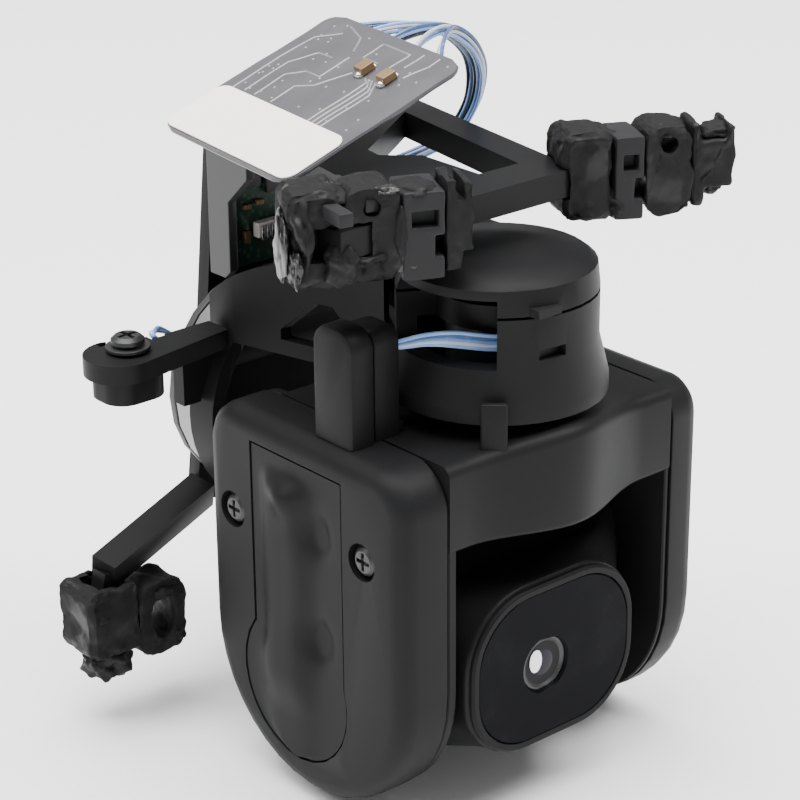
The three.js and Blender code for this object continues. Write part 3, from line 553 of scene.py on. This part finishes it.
def crossbar_section(x):
    swell = ease(1 - abs(x) / SWELL_HALF) if abs(x) < SWELL_HALF else 0
    front = FRONT - SWELL_OUT * swell
    top = DECK_TOP + SWELL_UP * swell
    outline = corner_arc(front + 0.7, DECK_BOTTOM + 0.7, 0.7, 270, 180, 4)
    outline += corner_arc(front + 1.3, top - 1.3, 1.3, 180, 90)
    outline += [(y, mix(top, DECK_TOP, ease(y / 7))) for y in range(-7, 12, 2)]
    outline += corner_arc(17.2, DECK_TOP - 0.8, 0.8, 90, 0, 4)
    outline += corner_arc(17.5, DECK_BOTTOM + 0.5, 0.5, 0, -90, 3)
    return [at(x, y, z) for y, z in outline]


stations = [mix(-15.35, 16.85, i / 72) for i in range(73)]
crossbar = loft([crossbar_section(x) for x in stations])
yoke = finished_object("yoke_crossbar", crossbar, arm_resin, "pan_stage")
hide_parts("yoke_frame")


def arm_outline(inset, top_corner, steps=28):
    """The side outline of an arm: a flat top with round corners and a half-round lower end."""
    front, rear, top, middle = FRONT + inset, 23.3 - inset, DECK_TOP - inset, 6.8
    radius = (rear - front) / 2
    outline = corner_arc(middle, -28, radius, 180, 360, steps)
    outline += corner_arc(rear - top_corner, top - top_corner, top_corner, 0, 90, 8)
    outline += corner_arc(front + top_corner, top - top_corner, top_corner, 90, 180, 8)
    return outline


for name, x0, x1, corner in (("left_inner_wall", -15.4, -14.3, 5), ("right_inner_wall", 16.3, 16.9, 4)):
    wall_rows = [(x0, 0.25), (x0 + 0.15, 0.1), (x1 - 0.15, 0.1), (x1, 0.25)]
    wall = loft([[at(x, y, z) for y, z in arm_outline(inset, corner)] for x, inset in wall_rows])
    finished_object(name, wall, arm_resin, "pan_stage")


def box_shape(low, high):
    """A block between two corners given in mm."""
    shape = bmesh.new()
    middle = [(a + b) / 2 for a, b in zip(low, high)]
    bmesh.ops.create_cube(shape, size=1)
    bmesh.ops.scale(shape, vec=[(b - a) * MM for a, b in zip(low, high)], verts=shape.verts)
    bmesh.ops.translate(shape, vec=at(*middle), verts=shape.verts)
    return shape


def soften(shape, radius, segments=3):
    bmesh.ops.bevel(shape, geom=shape.edges[:], offset=radius * MM, segments=segments, profile=0.5,
                    affect="EDGES", clamp_overlap=True, material=-1)
    return shape


STOP_ANGLE = math.radians(226)
stop = soften(box_shape((12.25, -1.4, -3), (13.1, 1.4, 3)), 0.25)
bmesh.ops.rotate(stop, cent=drum_foot, matrix=Matrix.Rotation(STOP_ANGLE, 3, "Z"), verts=stop.verts)
finished_object("pan_stop", stop, arm_resin, "pan_stage")

# ------------------------------------------------------------------ keyhole panel
# A thin cover let into the left arm: a strip that widens to a round boss. A soft ridge runs down
# it over the motor's cable, with a bump at its top and two dents beside it.
PANEL_FACE = -21.6
PANEL_MIDDLE = 7.6
PANEL_HALF = 7.4
PANEL_TOP = -5.4
BOSS_Y, BOSS_Z, BOSS_RADIUS = 8.4, -32, 8.6


def panel_span(z):
    """Where the panel begins and ends in Y at a height."""
    reach = max(0.0, BOSS_RADIUS ** 2 - (z - BOSS_Z) ** 2) ** 0.5
    low, high = BOSS_Y - reach, BOSS_Y + reach
    if z > BOSS_Z:
        low, high = min(low, PANEL_MIDDLE - PANEL_HALF), max(high, PANEL_MIDDLE + PANEL_HALF)
    return low, high


def hill(y, z, centre_y, centre_z, reach):
    return math.exp(-((y - centre_y) ** 2 + (z - centre_z) ** 2) / reach ** 2)


def panel_height(y, z):
    along = ease((-6.6 - z) / 2.6) * (1 - 0.75 * ease((-30 - z) / 6))
    across = math.exp(-((y - 9.4) / 3.9) ** 4)
    height = 1.0 * along * across
    height += 0.95 * hill(y, z, 8.6, -9.6, 2.1)
    height -= 1.0 * hill(y, z, 4.4, -12.6, 2.2)
    height -= 1.3 * hill(y, z, 4.2, -25.0, 2.1)
    height += 0.4 * hill(y, z, 10.4, -32, 5)
    return max(-0.55, height)


ROWS, COLUMNS = 90, 44
low_z = BOSS_Z - BOSS_RADIUS + 0.03
panel = bmesh.new()
grid = []
for row in range(ROWS + 1):
    z = mix(PANEL_TOP, low_z, row / ROWS)
    start, end = panel_span(z)
    grid.append([panel.verts.new(at(PANEL_FACE - panel_height(mix(start, end, c / COLUMNS), z)
                                    * ease(4 * c / COLUMNS) * ease(4 * (1 - c / COLUMNS)),
                                    mix(start, end, c / COLUMNS), z)) for c in range(COLUMNS + 1)])
for first, second in zip(grid, grid[1:]):
    for c in range(COLUMNS):
        panel.faces.new((first[c], first[c + 1], second[c + 1], second[c]))
skirt = bmesh.ops.extrude_edge_only(panel, edges=[e for e in panel.edges if e.is_boundary])
bmesh.ops.translate(panel, vec=(0.75 * MM, 0, 0),
                    verts=[v for v in skirt["geom"] if isinstance(v, bmesh.types.BMVert)])
keyhole_panel = finished_object("keyhole_panel_finished", panel, arm_resin, "pan_stage", 50)
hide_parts("keyhole_panel")

# ------------------------------------------------------------------ cable tower
# Two shells stand side by side on the yoke and hide the cable: a tall round-topped fin in front
# and a wider one behind it with a groove between them and small lugs at its foot.


def tower_section(x, y0, y1, top, corner, inset):
    outline = [(y1 - inset, DECK_TOP), (y1 - inset, top - corner)]
    outline += corner_arc(y1 - corner, top - corner, corner - inset, 0, 90, 7)
    outline += corner_arc(y0 + corner, top - corner, corner - inset, 90, 180, 7)
    outline += [(y0 + inset, DECK_TOP)]
    return [at(x, y, z) for y, z in outline]


def tower(name, node, x0, x1, y0, y1, top, corner, ease_by):
    rows = [(x0, ease_by), (x0 + 0.3 * ease_by, 0.3 * ease_by), (x0 + ease_by, 0), (x1 - ease_by, 0),
            (x1 - 0.3 * ease_by, 0.3 * ease_by), (x1, ease_by)]
    shell = loft([tower_section(x, y0, y1, top, corner, inset) for x, inset in rows])
    piece = finished_object(name, shell, arm_resin, "pan_stage")
    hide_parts(node)


tower("tower_front_finished", "tower_front", -19.9, -16.7, 0.1, 6.5, 10.5, 2.4, 0.6)
tower("tower_rear_finished", "tower_rear", -16.5, -13.0, 0.5, 6.2, 9.8, 1.6, 0.5)
for y0, y1 in ((0.9, 2.1), (3.9, 5.4)):
    lug = soften(box_shape((-13.4, y0, DECK_TOP - 0.3), (-12.2, y1, DECK_TOP + 1.2)), 0.2)
    finished_object("tower_lug", lug, arm_resin, "pan_stage")

# ------------------------------------------------------------------ camera pod
# The front shell is one smooth moulding that runs from the round barrel into a neck with a
# rounded-square face.
POD_LEFT, POD_RIGHT = -13.9, 16.2
AXIS_Y, AXIS_Z, BARREL = 6.8, -28, 13.6
MIDDLE_X, MIDDLE_Z = -1, -28.4
NECK_HALF_X, NECK_HALF_Z = 12.3, 9.9
FACE_Y = -10.0
SPLIT_Y = 4


def rounded_section(left, right, low, high, corner, steps=9):
    centres = ((right - corner, high - corner), (left + corner, high - corner),
               (left + corner, low + corner), (right - corner, low + corner))
    outline = []
    for quarter, (centre_x, centre_z) in enumerate(centres):
        outline += corner_arc(centre_x, centre_z, corner, 90 * quarter, 90 * quarter + 90, steps)
    return outline


def smooth_larger(first, second, softness=1.6):
    gap = max(softness - abs(first - second), 0) / softness
    return max(first, second) + softness * gap * gap / 4


def pod_section(y, inset=0.0):
    spread = ease((y + 8.8) / 7.4)
    barrel_half = max(0.0, BARREL ** 2 - (y - AXIS_Y) ** 2) ** 0.5
    high = smooth_larger(MIDDLE_Z + NECK_HALF_Z, AXIS_Z + barrel_half)
    low = -smooth_larger(NECK_HALF_Z - MIDDLE_Z, barrel_half - AXIS_Z)
    left = mix(MIDDLE_X - NECK_HALF_X, POD_LEFT, spread)
    far = mix(MIDDLE_X + NECK_HALF_X, POD_RIGHT, spread)
    corner = mix(8.6, 1.6, ease((y + 9.5) / 9))
    return [at(x, y, z) for x, z in rounded_section(left + inset, far - inset, low + inset, high - inset,
                                                    corner - 0.5 * inset)]


face_rows = [pod_section(FACE_Y, 0.9), pod_section(FACE_Y, 0.35), pod_section(FACE_Y + 0.12, 0.1)]
body_rows = [pod_section(mix(FACE_Y + 0.4, SPLIT_Y, i / 44)) for i in range(45)]
pod = finished_object("pod_front_shell_finished", loft(face_rows + body_rows), pod_resin, "tilt_stage", 45)
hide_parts("pod_front_shell")

# The window is a black-painted glass with a clear round opening, over a stepped lens cell. The lens
# shows one bright oval: a near-white disc just in front of the dome, a painted highlight for its coating's
# glint.
LENS_X, LENS_Z = -2.3, -28.6
CLEAR_RADIUS = 3.1


def window_ring(y, inset):
    outline = rounded_section(MIDDLE_X - 11.0 + inset, MIDDLE_X + 11.0 - inset, MIDDLE_Z - 8.6 + inset,
                              MIDDLE_Z + 8.6 - inset, 7.4 - inset, 11)
    return [at(x, y, z) for x, z in outline]


def round_opening(y, radius):
    """A circle with a point towards each point of the window's outline."""
    middle = at(LENS_X, y, LENS_Z)
    return [middle + radius * MM * (place - middle).normalized() for place in window_ring(y, 0)]


glass = bmesh.new()
glass_rows = [window_ring(-9.9, 0), window_ring(-10.45, 0), window_ring(-10.55, 0.1),
              round_opening(-10.55, CLEAR_RADIUS + 0.25), round_opening(-10.3, CLEAR_RADIUS),
              round_opening(-9.9, CLEAR_RADIUS)]
glass_verts = [[glass.verts.new(place) for place in row] for row in glass_rows]
for first, second in zip(glass_verts, glass_verts[1:] + glass_verts[:1]):
    for i in range(len(first)):
        following = (i + 1) % len(first)
        glass.faces.new((first[i], first[following], second[following], second[i]))
window = finished_object("window_glass_finished", glass, window_black, "tilt_stage", 30)
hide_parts("window_glass")


def turned_piece(name, profile, material, body, segments=48):
    """A piece turned about the lens axis; the profile's pairs are (radius, Y)."""
    shape = bmesh.new()
    rows = []
    for radius, y in profile:
        rows.append([shape.verts.new(at(LENS_X + radius * math.cos(2 * math.pi * i / segments), y,
                                        LENS_Z + radius * math.sin(2 * math.pi * i / segments)))
                     for i in range(segments)])
    for first, second in zip(rows, rows[1:]):
        for i in range(segments):
            shape.faces.new((first[i], first[(i + 1) % segments], second[(i + 1) % segments], second[i]))
    shape.faces.new(rows[0])
    shape.faces.new(rows[-1])
    piece = finished_object(name, shape, material, body, 30)
    return piece


cell_profile = [(3.05, -9.5), (3.05, -10.2), (2.8, -10.25), (2.3, -9.8), (0.1, -9.8)]
turned_piece("lens_cell_ring", cell_profile, lens_cell, "tilt_stage")
dome_angles = [math.radians(a) for a in range(0, 86, 12)]
dome = [(2.0 * math.cos(a), -9.8 - 0.3 * math.sin(a)) for a in dome_angles]
lens_dome = turned_piece("lens_element_finished", [(2.0, -9.6), *dome, (0.05, -10.1)], lens_glass,
                         "tilt_stage")
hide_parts("lens_element")

# The painted highlight: a flat near-white oval just in front of the lens dome, standing in for a
# reflection.
glint = bmesh.new()
bmesh.ops.create_uvsphere(glint, u_segments=32, v_segments=20, radius=MM)
bmesh.ops.scale(glint, vec=(0.9, 0.1, 1.35), verts=glint.verts)
bmesh.ops.translate(glint, vec=at(LENS_X - 1.1, -10.1, LENS_Z + 0.5), verts=glint.verts)
finished_object("lens_painted_glint", glint, painted_lens_glint, "tilt_stage", 30)


# ------------------------------------------------------------------ dampers
# Rubber blocks, loops and hooks that have been squeezed and glued by hand, with hard plastic clips
# between them. The rubber is lumpy and its corners are torn round.
def lumpy(node, material, lump, edge, seed):
    """A CAD node with rounded corners and an uneven skin."""
    shape = cleaned(node)
    bmesh.ops.recalc_face_normals(shape, faces=shape.faces)
    sharp = [e for e in shape.edges if len(e.link_faces) == 2 and e.calc_face_angle(0) > math.radians(35)]
    bmesh.ops.bevel(shape, geom=sharp, offset=edge * MM, segments=2, profile=0.5, affect="EDGES",
                    clamp_overlap=True, material=-1)
    bmesh.ops.triangulate(shape, faces=shape.faces)
    for longest in (2.4, 1.2, 0.7):
        long_edges = [e for e in shape.edges if e.calc_length() > longest * MM]
        bmesh.ops.subdivide_edges(shape, edges=long_edges, cuts=1)
        bmesh.ops.triangulate(shape, faces=shape.faces)
    bmesh.ops.smooth_vert(shape, verts=shape.verts, factor=0.35, use_axis_x=True, use_axis_y=True,
                          use_axis_z=True)
    shape.normal_update()
    shift = Vector((seed * 7.3, seed * 1.9, seed * 4.1))
    moves = []
    for vertex in shape.verts:
        swell = 1.3 * noise(vertex.co * 420 + shift)
        wrinkle = 0.6 * fractal(vertex.co * 1300 + shift, 1.0, 2.0, 3)
        moves.append(vertex.normal * lump * MM * (swell + wrinkle))
    for vertex, move in zip(shape.verts, moves):
        vertex.co += move
    piece = finished_object(f"{node}_finished", shape, material, frame["nodes"][node]["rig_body"], 60)
    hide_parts(node)
    return piece


for seed, side in enumerate(("left", "right")):
    lumpy(f"{side}_damper_block", damper_rubber, 0.34, 0.8, seed + 1)
    lumpy(f"{side}_damper_loop", damper_rubber, 0.3, 0.7, seed + 3)
    lumpy(f"{side}_damper_hook", damper_rubber, 0.26, 0.5, seed + 5)
    lumpy(f"lower_{side}_shoe", damper_rubber, 0.32, 0.7, seed + 7)
    lumpy(f"lower_{side}_eyelet", damper_rubber, 0.3, 0.5, seed + 9)
    lumpy(f"{side}_damper_clip", clip_resin, 0.05, 0.2, seed + 11)


def blob(name, centre, size, material, body, seed, turn=0.0, roughness=0.3):
    """A hand-pressed lump: a ball stretched to a size in mm, dented all over."""
    shape = bmesh.new()
    bmesh.ops.create_icosphere(shape, subdivisions=4, radius=1)
    for vertex in shape.verts:
        vertex.co *= 1 + roughness * fractal(vertex.co * 1.6 + Vector((seed, 0, seed)), 1.0, 2.0, 3)
    bmesh.ops.scale(shape, vec=[s * MM / 2 for s in size], verts=shape.verts)
    bmesh.ops.rotate(shape, cent=(0, 0, 0), matrix=Matrix.Rotation(turn, 3, "Z"), verts=shape.verts)
    bmesh.ops.translate(shape, vec=at(*centre), verts=shape.verts)
    piece = finished_object(name, shape, material, body, 80)
    return piece


glue = Finish("dried_glue", Specular_IOR_Level=0.35, Coat_Weight=0.1, Coat_Roughness=0.2)
streaks = glue.grain(500, 5, 0.7)
glue.feed("Base Color", glue.blend(streaks, (0.008, 0.008, 0.009, 1), (0.02, 0.019, 0.018, 1)))
glue.feed("Roughness", 0.2 + 0.35 * streaks)
glue.feed("Normal", glue.bump(streaks, 0.8, 0.08 * MM))

ROW_TURN = math.radians(-27)
rubber_lumps = [
    ((-23.6, 3.2, 21.8), (2.6, 6.4, 7.4)), ((-20.6, 2.6, 24.8), (4.4, 5.0, 2.2)),
    ((-17.2, 0.4, 18.2), (4.2, 5.6, 3.4)), ((-13.2, -1.6, 24.9), (4.8, 4.8, 1.8)),
    ((-21.0, -0.2, 18.6), (3.6, 3.6, 4.6)), ((-15.4, -2.2, 21.2), (2.2, 2.6, 6.4)),
    ((14.0, 0.6, 24.6), (5.0, 5.6, 2.4)), ((14.4, -1.4, 17.8), (4.6, 5.4, 3.4)),
    ((20.4, -3.8, 25.0), (4.8, 4.8, 1.9)), ((21.6, -4.4, 17.6), (3.6, 4.4, 3.0)),
    ((25.6, -6.6, 24.4), (3.8, 3.8, 2.0)), ((25.2, -6.0, 19.0), (3.4, 4.0, 3.0)),
    ((-28.2, 36.6, -31.2), (4.6, 5.6, 4.0)), ((-27.4, 36.4, -38.0), (5.6, 5.6, 4.6)),
    ((-20.4, 36.6, -31.2), (4.8, 4.6, 2.4)), ((-18.0, 36.8, -37.4), (3.4, 4.4, 3.4)),
    ((28.2, 36.6, -30.2), (4.6, 5.6, 4.0)), ((20.4, 36.6, -30.8), (4.8, 4.6, 2.4)),
]
for number, (centre, size) in enumerate(rubber_lumps):
    blob(f"rubber_lump_{number + 1}", centre, size, damper_rubber, "root", number * 2.7, ROW_TURN)
glue_smears = [((-25.0, 4.4, 20.4), (1.2, 4.6, 7.0)), ((-25.2, 2.0, 18.4), (1.4, 3.0, 4.0)),
               ((-14.4, -3.0, 17.6), (3.0, 1.0, 1.8)), ((-16.6, -1.8, 25.6), (2.6, 1.8, 0.9))]
for number, (centre, size) in enumerate(glue_smears):
    blob(f"glue_smear_{number + 1}", centre, size, glue.material, "root", number * 5.1 + 1,
         ROW_TURN, 0.45)

# Two hard tongues of the left clip show above the rubber as slanting grey strips.
TONGUE_TURN = Matrix.Rotation(math.radians(-12), 3, "Z")
for number, (x, y) in enumerate(((-22.0, 1.0), (-17.0, 3.0))):
    strip = soften(box_shape((-0.8, -4.4, 23.4), (0.8, 4.4, 24.9)), 0.2)
    bmesh.ops.rotate(strip, cent=drum_foot, matrix=TONGUE_TURN, verts=strip.verts)
    bmesh.ops.translate(strip, vec=(x * MM, y * MM, 0), verts=strip.verts)
    finished_object(f"clip_tongue_{number + 1}", strip, clip_resin, "root")

# ------------------------------------------------------------------ flex board
# A laminated film on a thin stiffener, a little wavy, with copper runs that show as raised lines
# and via dots. It rises to the right over the frame.
BOARD_LENGTH, BOARD_WIDTH, BOARD_CORNER = 25, 23, 2.2
BOARD_PLACE = (-19.9, 10, 23.6)
BOARD_TURN = (Matrix.Rotation(math.radians(-3.5), 3, "Z") @ Matrix.Rotation(math.radians(-20), 3, "Y")
              @ Matrix.Rotation(math.radians(3.4), 3, "X"))


def on_board(u, v, lift):
    """A place on the board: u up its slope, v across it, lift above its underside, all in mm."""
    return at(*(Vector(BOARD_PLACE) + BOARD_TURN @ Vector((u, v, lift))))


def waviness(u, v):
    free = ease((u - 9) / 5) * ease((BOARD_LENGTH - u) / 3)
    return 0.2 * free * noise(Vector((u * 0.22, v * 0.17, 3.7)))


def board_surface(lift, inset, cells=46):
    rows = []
    for i in range(cells + 1):
        u = mix(inset, BOARD_LENGTH - inset, i / cells)
        edge = min(u - inset, BOARD_LENGTH - inset - u)
        bite = 0.0
        if edge < BOARD_CORNER:
            bite = BOARD_CORNER - math.sqrt(max(0.0, BOARD_CORNER ** 2 - (BOARD_CORNER - edge) ** 2))
        row = []
        for j in range(cells + 1):
            v = mix(inset + bite, BOARD_WIDTH - inset - bite, j / cells)
            row.append(on_board(u, v, lift + waviness(u, v)))
        rows.append(row)
    return rows


board = bmesh.new()
sheets = []
for lift, inset in ((0.0, 0.12), (0.5, 0.12)):
    sheets.append([[board.verts.new(place) for place in row] for row in board_surface(lift, inset)])
for sheet_rows in sheets:
    for first, second in zip(sheet_rows, sheet_rows[1:]):
        for i in range(len(first) - 1):
            board.faces.new((first[i], first[i + 1], second[i + 1], second[i]))


def border(rows):
    """The points round the edge of a grid, in order."""
    return rows[0] + [row[-1] for row in rows[1:]] + rows[-1][-2::-1] + [row[0] for row in rows[-2:0:-1]]


board_centre = on_board(BOARD_LENGTH / 2, BOARD_WIDTH / 2, 0.25)
middle_border = []
for lower, upper in zip(border(sheets[0]), border(sheets[1])):
    halfway = (lower.co + upper.co) / 2
    outward = (halfway - board_centre).normalized()
    middle_border.append(board.verts.new(halfway + outward * 0.12 * MM))
for lower, upper in ((border(sheets[0]), middle_border), (middle_border, border(sheets[1]))):
    for i in range(len(lower)):
        following = (i + 1) % len(lower)
        board.faces.new((lower[i], lower[following], upper[following], upper[i]))
flex_board = finished_object("flex_board_finished", board, flex_film, "root", 40)
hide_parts("flex_board")


def board_run(name, points, width, height=0.07):
    """A raised copper run under the film, along points given as (u, v)."""
    shape = bmesh.new()
    rows = []
    dense = [(mix(a[0], b[0], k / 8), mix(a[1], b[1], k / 8)) for a, b in zip(points, points[1:])
             for k in range(8)] + [points[-1]]
    for i, (u, v) in enumerate(dense):
        before, after = dense[max(i - 1, 0)], dense[min(i + 1, len(dense) - 1)]
        du, dv = after[0] - before[0], after[1] - before[1]
        size = math.hypot(du, dv)
        across = (-dv / size * width / 2, du / size * width / 2)
        base = 0.48 + waviness(u, v)
        rows.append([shape.verts.new(on_board(u + k * across[0], v + k * across[1], base + h))
                     for k, h in ((-1, 0), (-0.5, height), (0.5, height), (1, 0))])
    for first, second in zip(rows, rows[1:]):
        for i in range(4):
            shape.faces.new((first[i], first[(i + 1) % 4], second[(i + 1) % 4], second[i]))
    shape.faces.new(rows[0])
    shape.faces.new(rows[-1])
    finished_object(name, shape, trace_film, "root", 50)


board_runs = [[(8.9, 5.4 + 0.75 * i), (15.6 + 0.5 * i, 5.4 + 0.75 * i), (17.6, 6.6 + 0.6 * i)]
              for i in range(4)]
board_runs += [[(20.2, 7.4), (23.2, 7.4), (23.2, 12), (20.2, 12), (20.2, 9.2)],
               [(19.6, 4.4), (22.6, 3.6), (24.2, 3.6)],
               [(8.9, 21.2), (16, 21.5), (20.5, 21), (22.5, 18.4)],
               [(9.2, 19.4), (15.5, 19.6), (18.4, 17.6), (18.4, 15)],
               [(9.2, 17.6), (13.6, 17.6), (15.2, 15.8), (15.2, 13.4), (19.4, 13.4)],
               [(9.2, 14.6), (12.6, 14.6), (13.8, 12.6), (17.6, 10.6)],
               [(20.4, 14), (22.8, 15.6), (23.8, 18.6)], [(21, 5.9), (23.9, 5.9)]]
for number, run in enumerate(board_runs):
    board_run(f"board_run_{number + 1}", run, 0.3)

vias = bmesh.new()
for number in range(46):
    u, v = chance.uniform(9.8, 24), chance.uniform(1.2, 21.8)
    base = 0.47 + waviness(u, v)
    ring_points = [(0.2 * math.cos(a), 0.2 * math.sin(a)) for a in (math.pi * k / 4 for k in range(8))]
    low = [vias.verts.new(on_board(u + du, v + dv, base)) for du, dv in ring_points]
    high = [vias.verts.new(on_board(u + 0.6 * du, v + 0.6 * dv, base + 0.08)) for du, dv in ring_points]
    for i in range(8):
        vias.faces.new((low[i], low[(i + 1) % 8], high[(i + 1) % 8], high[i]))
    vias.faces.new(high)
    vias.faces.new(low)
finished_object("board_vias", vias, trace_film, "root", 60)

# Solder fillets at both ends of the two small parts on the board.
for number, (u, v) in enumerate(((18.5, 9.4), (18.5, 5.6))):
    for end in (-1, 1):
        fillet = bmesh.new()
        bmesh.ops.create_uvsphere(fillet, u_segments=16, v_segments=10, radius=0.55 * MM)
        bmesh.ops.scale(fillet, vec=(0.8, 1.2, 0.8), verts=fillet.verts)
        bmesh.ops.translate(fillet, vec=on_board(u + end * 1.0, v, 0.6), verts=fillet.verts)
        finished_object(f"solder_{number + 1}_{end + 2}", fillet, solder, "root")

# ------------------------------------------------------------------ control board
# A green board stands on the frame's back wall. Small chips and a row of tinned pins face front.
eased("board_connector", label_paper, 0.1 * MM)
for number in range(7):
    x = -2.2 + 0.75 * number
    pin = soften(box_shape((x - 0.16, 37.2, 7.2), (x + 0.16, 37.8, 8.9)), 0.05, 1)
    finished_object(f"board_pin_{number + 1}", pin, solder, "root")
CHIPS = ((-2.6, 14.2, 2.2, 1.6), (0.6, 13.6, 2.6, 2.6), (-3.4, 11.2, 1.0, 0.6), (-1.6, 11.4, 1.0, 0.6),
         (3.6, 11.0, 1.8, 1.2), (-3.6, 7.6, 0.8, 1.4), (4.6, 14.6, 1.2, 0.8))
for number, (x, z, wide, tall) in enumerate(CHIPS):
    chip = box_shape((x - wide / 2, 38.3, z - tall / 2), (x + wide / 2, 38.98, z + tall / 2))
    soften(chip, 0.08, 1)
    chip_finish = chip_body if wide < 1.5 else black_screw
    finished_object(f"board_part_{number + 1}", chip, chip_finish, "root")

# ------------------------------------------------------------------ clamp wires
# Short lengths of the roll motor's wires show in the clamp's notch beside the arm.
for number, colour in enumerate(("pale_blue", "white", "sky_blue")):
    line = smooth_line([at(-18.6, 33.6 + 0.3 * number, -2.6), at(-19.2, 34.6, -0.6 + 0.2 * number),
                        at(-19.8, 35.4 - 0.3 * number, 0.7), at(-18.4, 36.0, 0.5 + 0.2 * number),
                        at(-16.4, 36.6, -0.4)], 5)
    tube(f"clamp_wire_{number + 1}", line, WIRE_DIAMETER, JACKETS[colour], "roll_stage", 8)

# ------------------------------------------------------------------ floor and lights
# A pale sweep under the gimbal and soft light from three sides.
whole_low = Vector(cad_box[0])
floor_mesh = bpy.data.meshes.new("floor")
floor_shape = bmesh.new()
bmesh.ops.create_grid(floor_shape, x_segments=1, y_segments=1, size=1.5)
bmesh.ops.translate(floor_shape, vec=(0, 0, whole_low.z - 1.2 * MM), verts=floor_shape.verts)
floor_shape.to_mesh(floor_mesh)
floor_shape.free()
floor = bpy.data.objects.new("floor", floor_mesh)
bpy.context.scene.collection.objects.link(floor)
white_sweep = Finish("white_sweep", Roughness=0.9)
white_sweep.feed("Base Color", white_sweep.blend(white_sweep.grain(3), (0.93, 0.93, 0.93, 1),
                                                 (0.96, 0.96, 0.96, 1)))
floor.data.materials.append(white_sweep.material)

world = bpy.data.worlds.new("studio")
world.use_nodes = True
world.node_tree.nodes["Background"].inputs["Color"].default_value = (1, 1, 1, 1)
world.node_tree.nodes["Background"].inputs["Strength"].default_value = 0.5
bpy.context.scene.world = world


def soft_light(name, position, size, power):
    light = bpy.data.lights.new(name, "AREA")
    light.size = size
    light.energy = power
    lamp = bpy.data.objects.new(name, light)
    bpy.context.scene.collection.objects.link(lamp)
    lamp.location = position
    lamp.rotation_euler = (-Vector(position)).to_track_quat("-Z", "Y").to_euler()
    return lamp


soft_light("key", (0.30, -0.30, 0.60), 0.3, 5.0)
soft_light("top", (-0.1, 0.1, 1.1), 1.1, 42.0)
soft_light("rim", (-0.45, 0.3, 0.45), 0.25, 2.0)
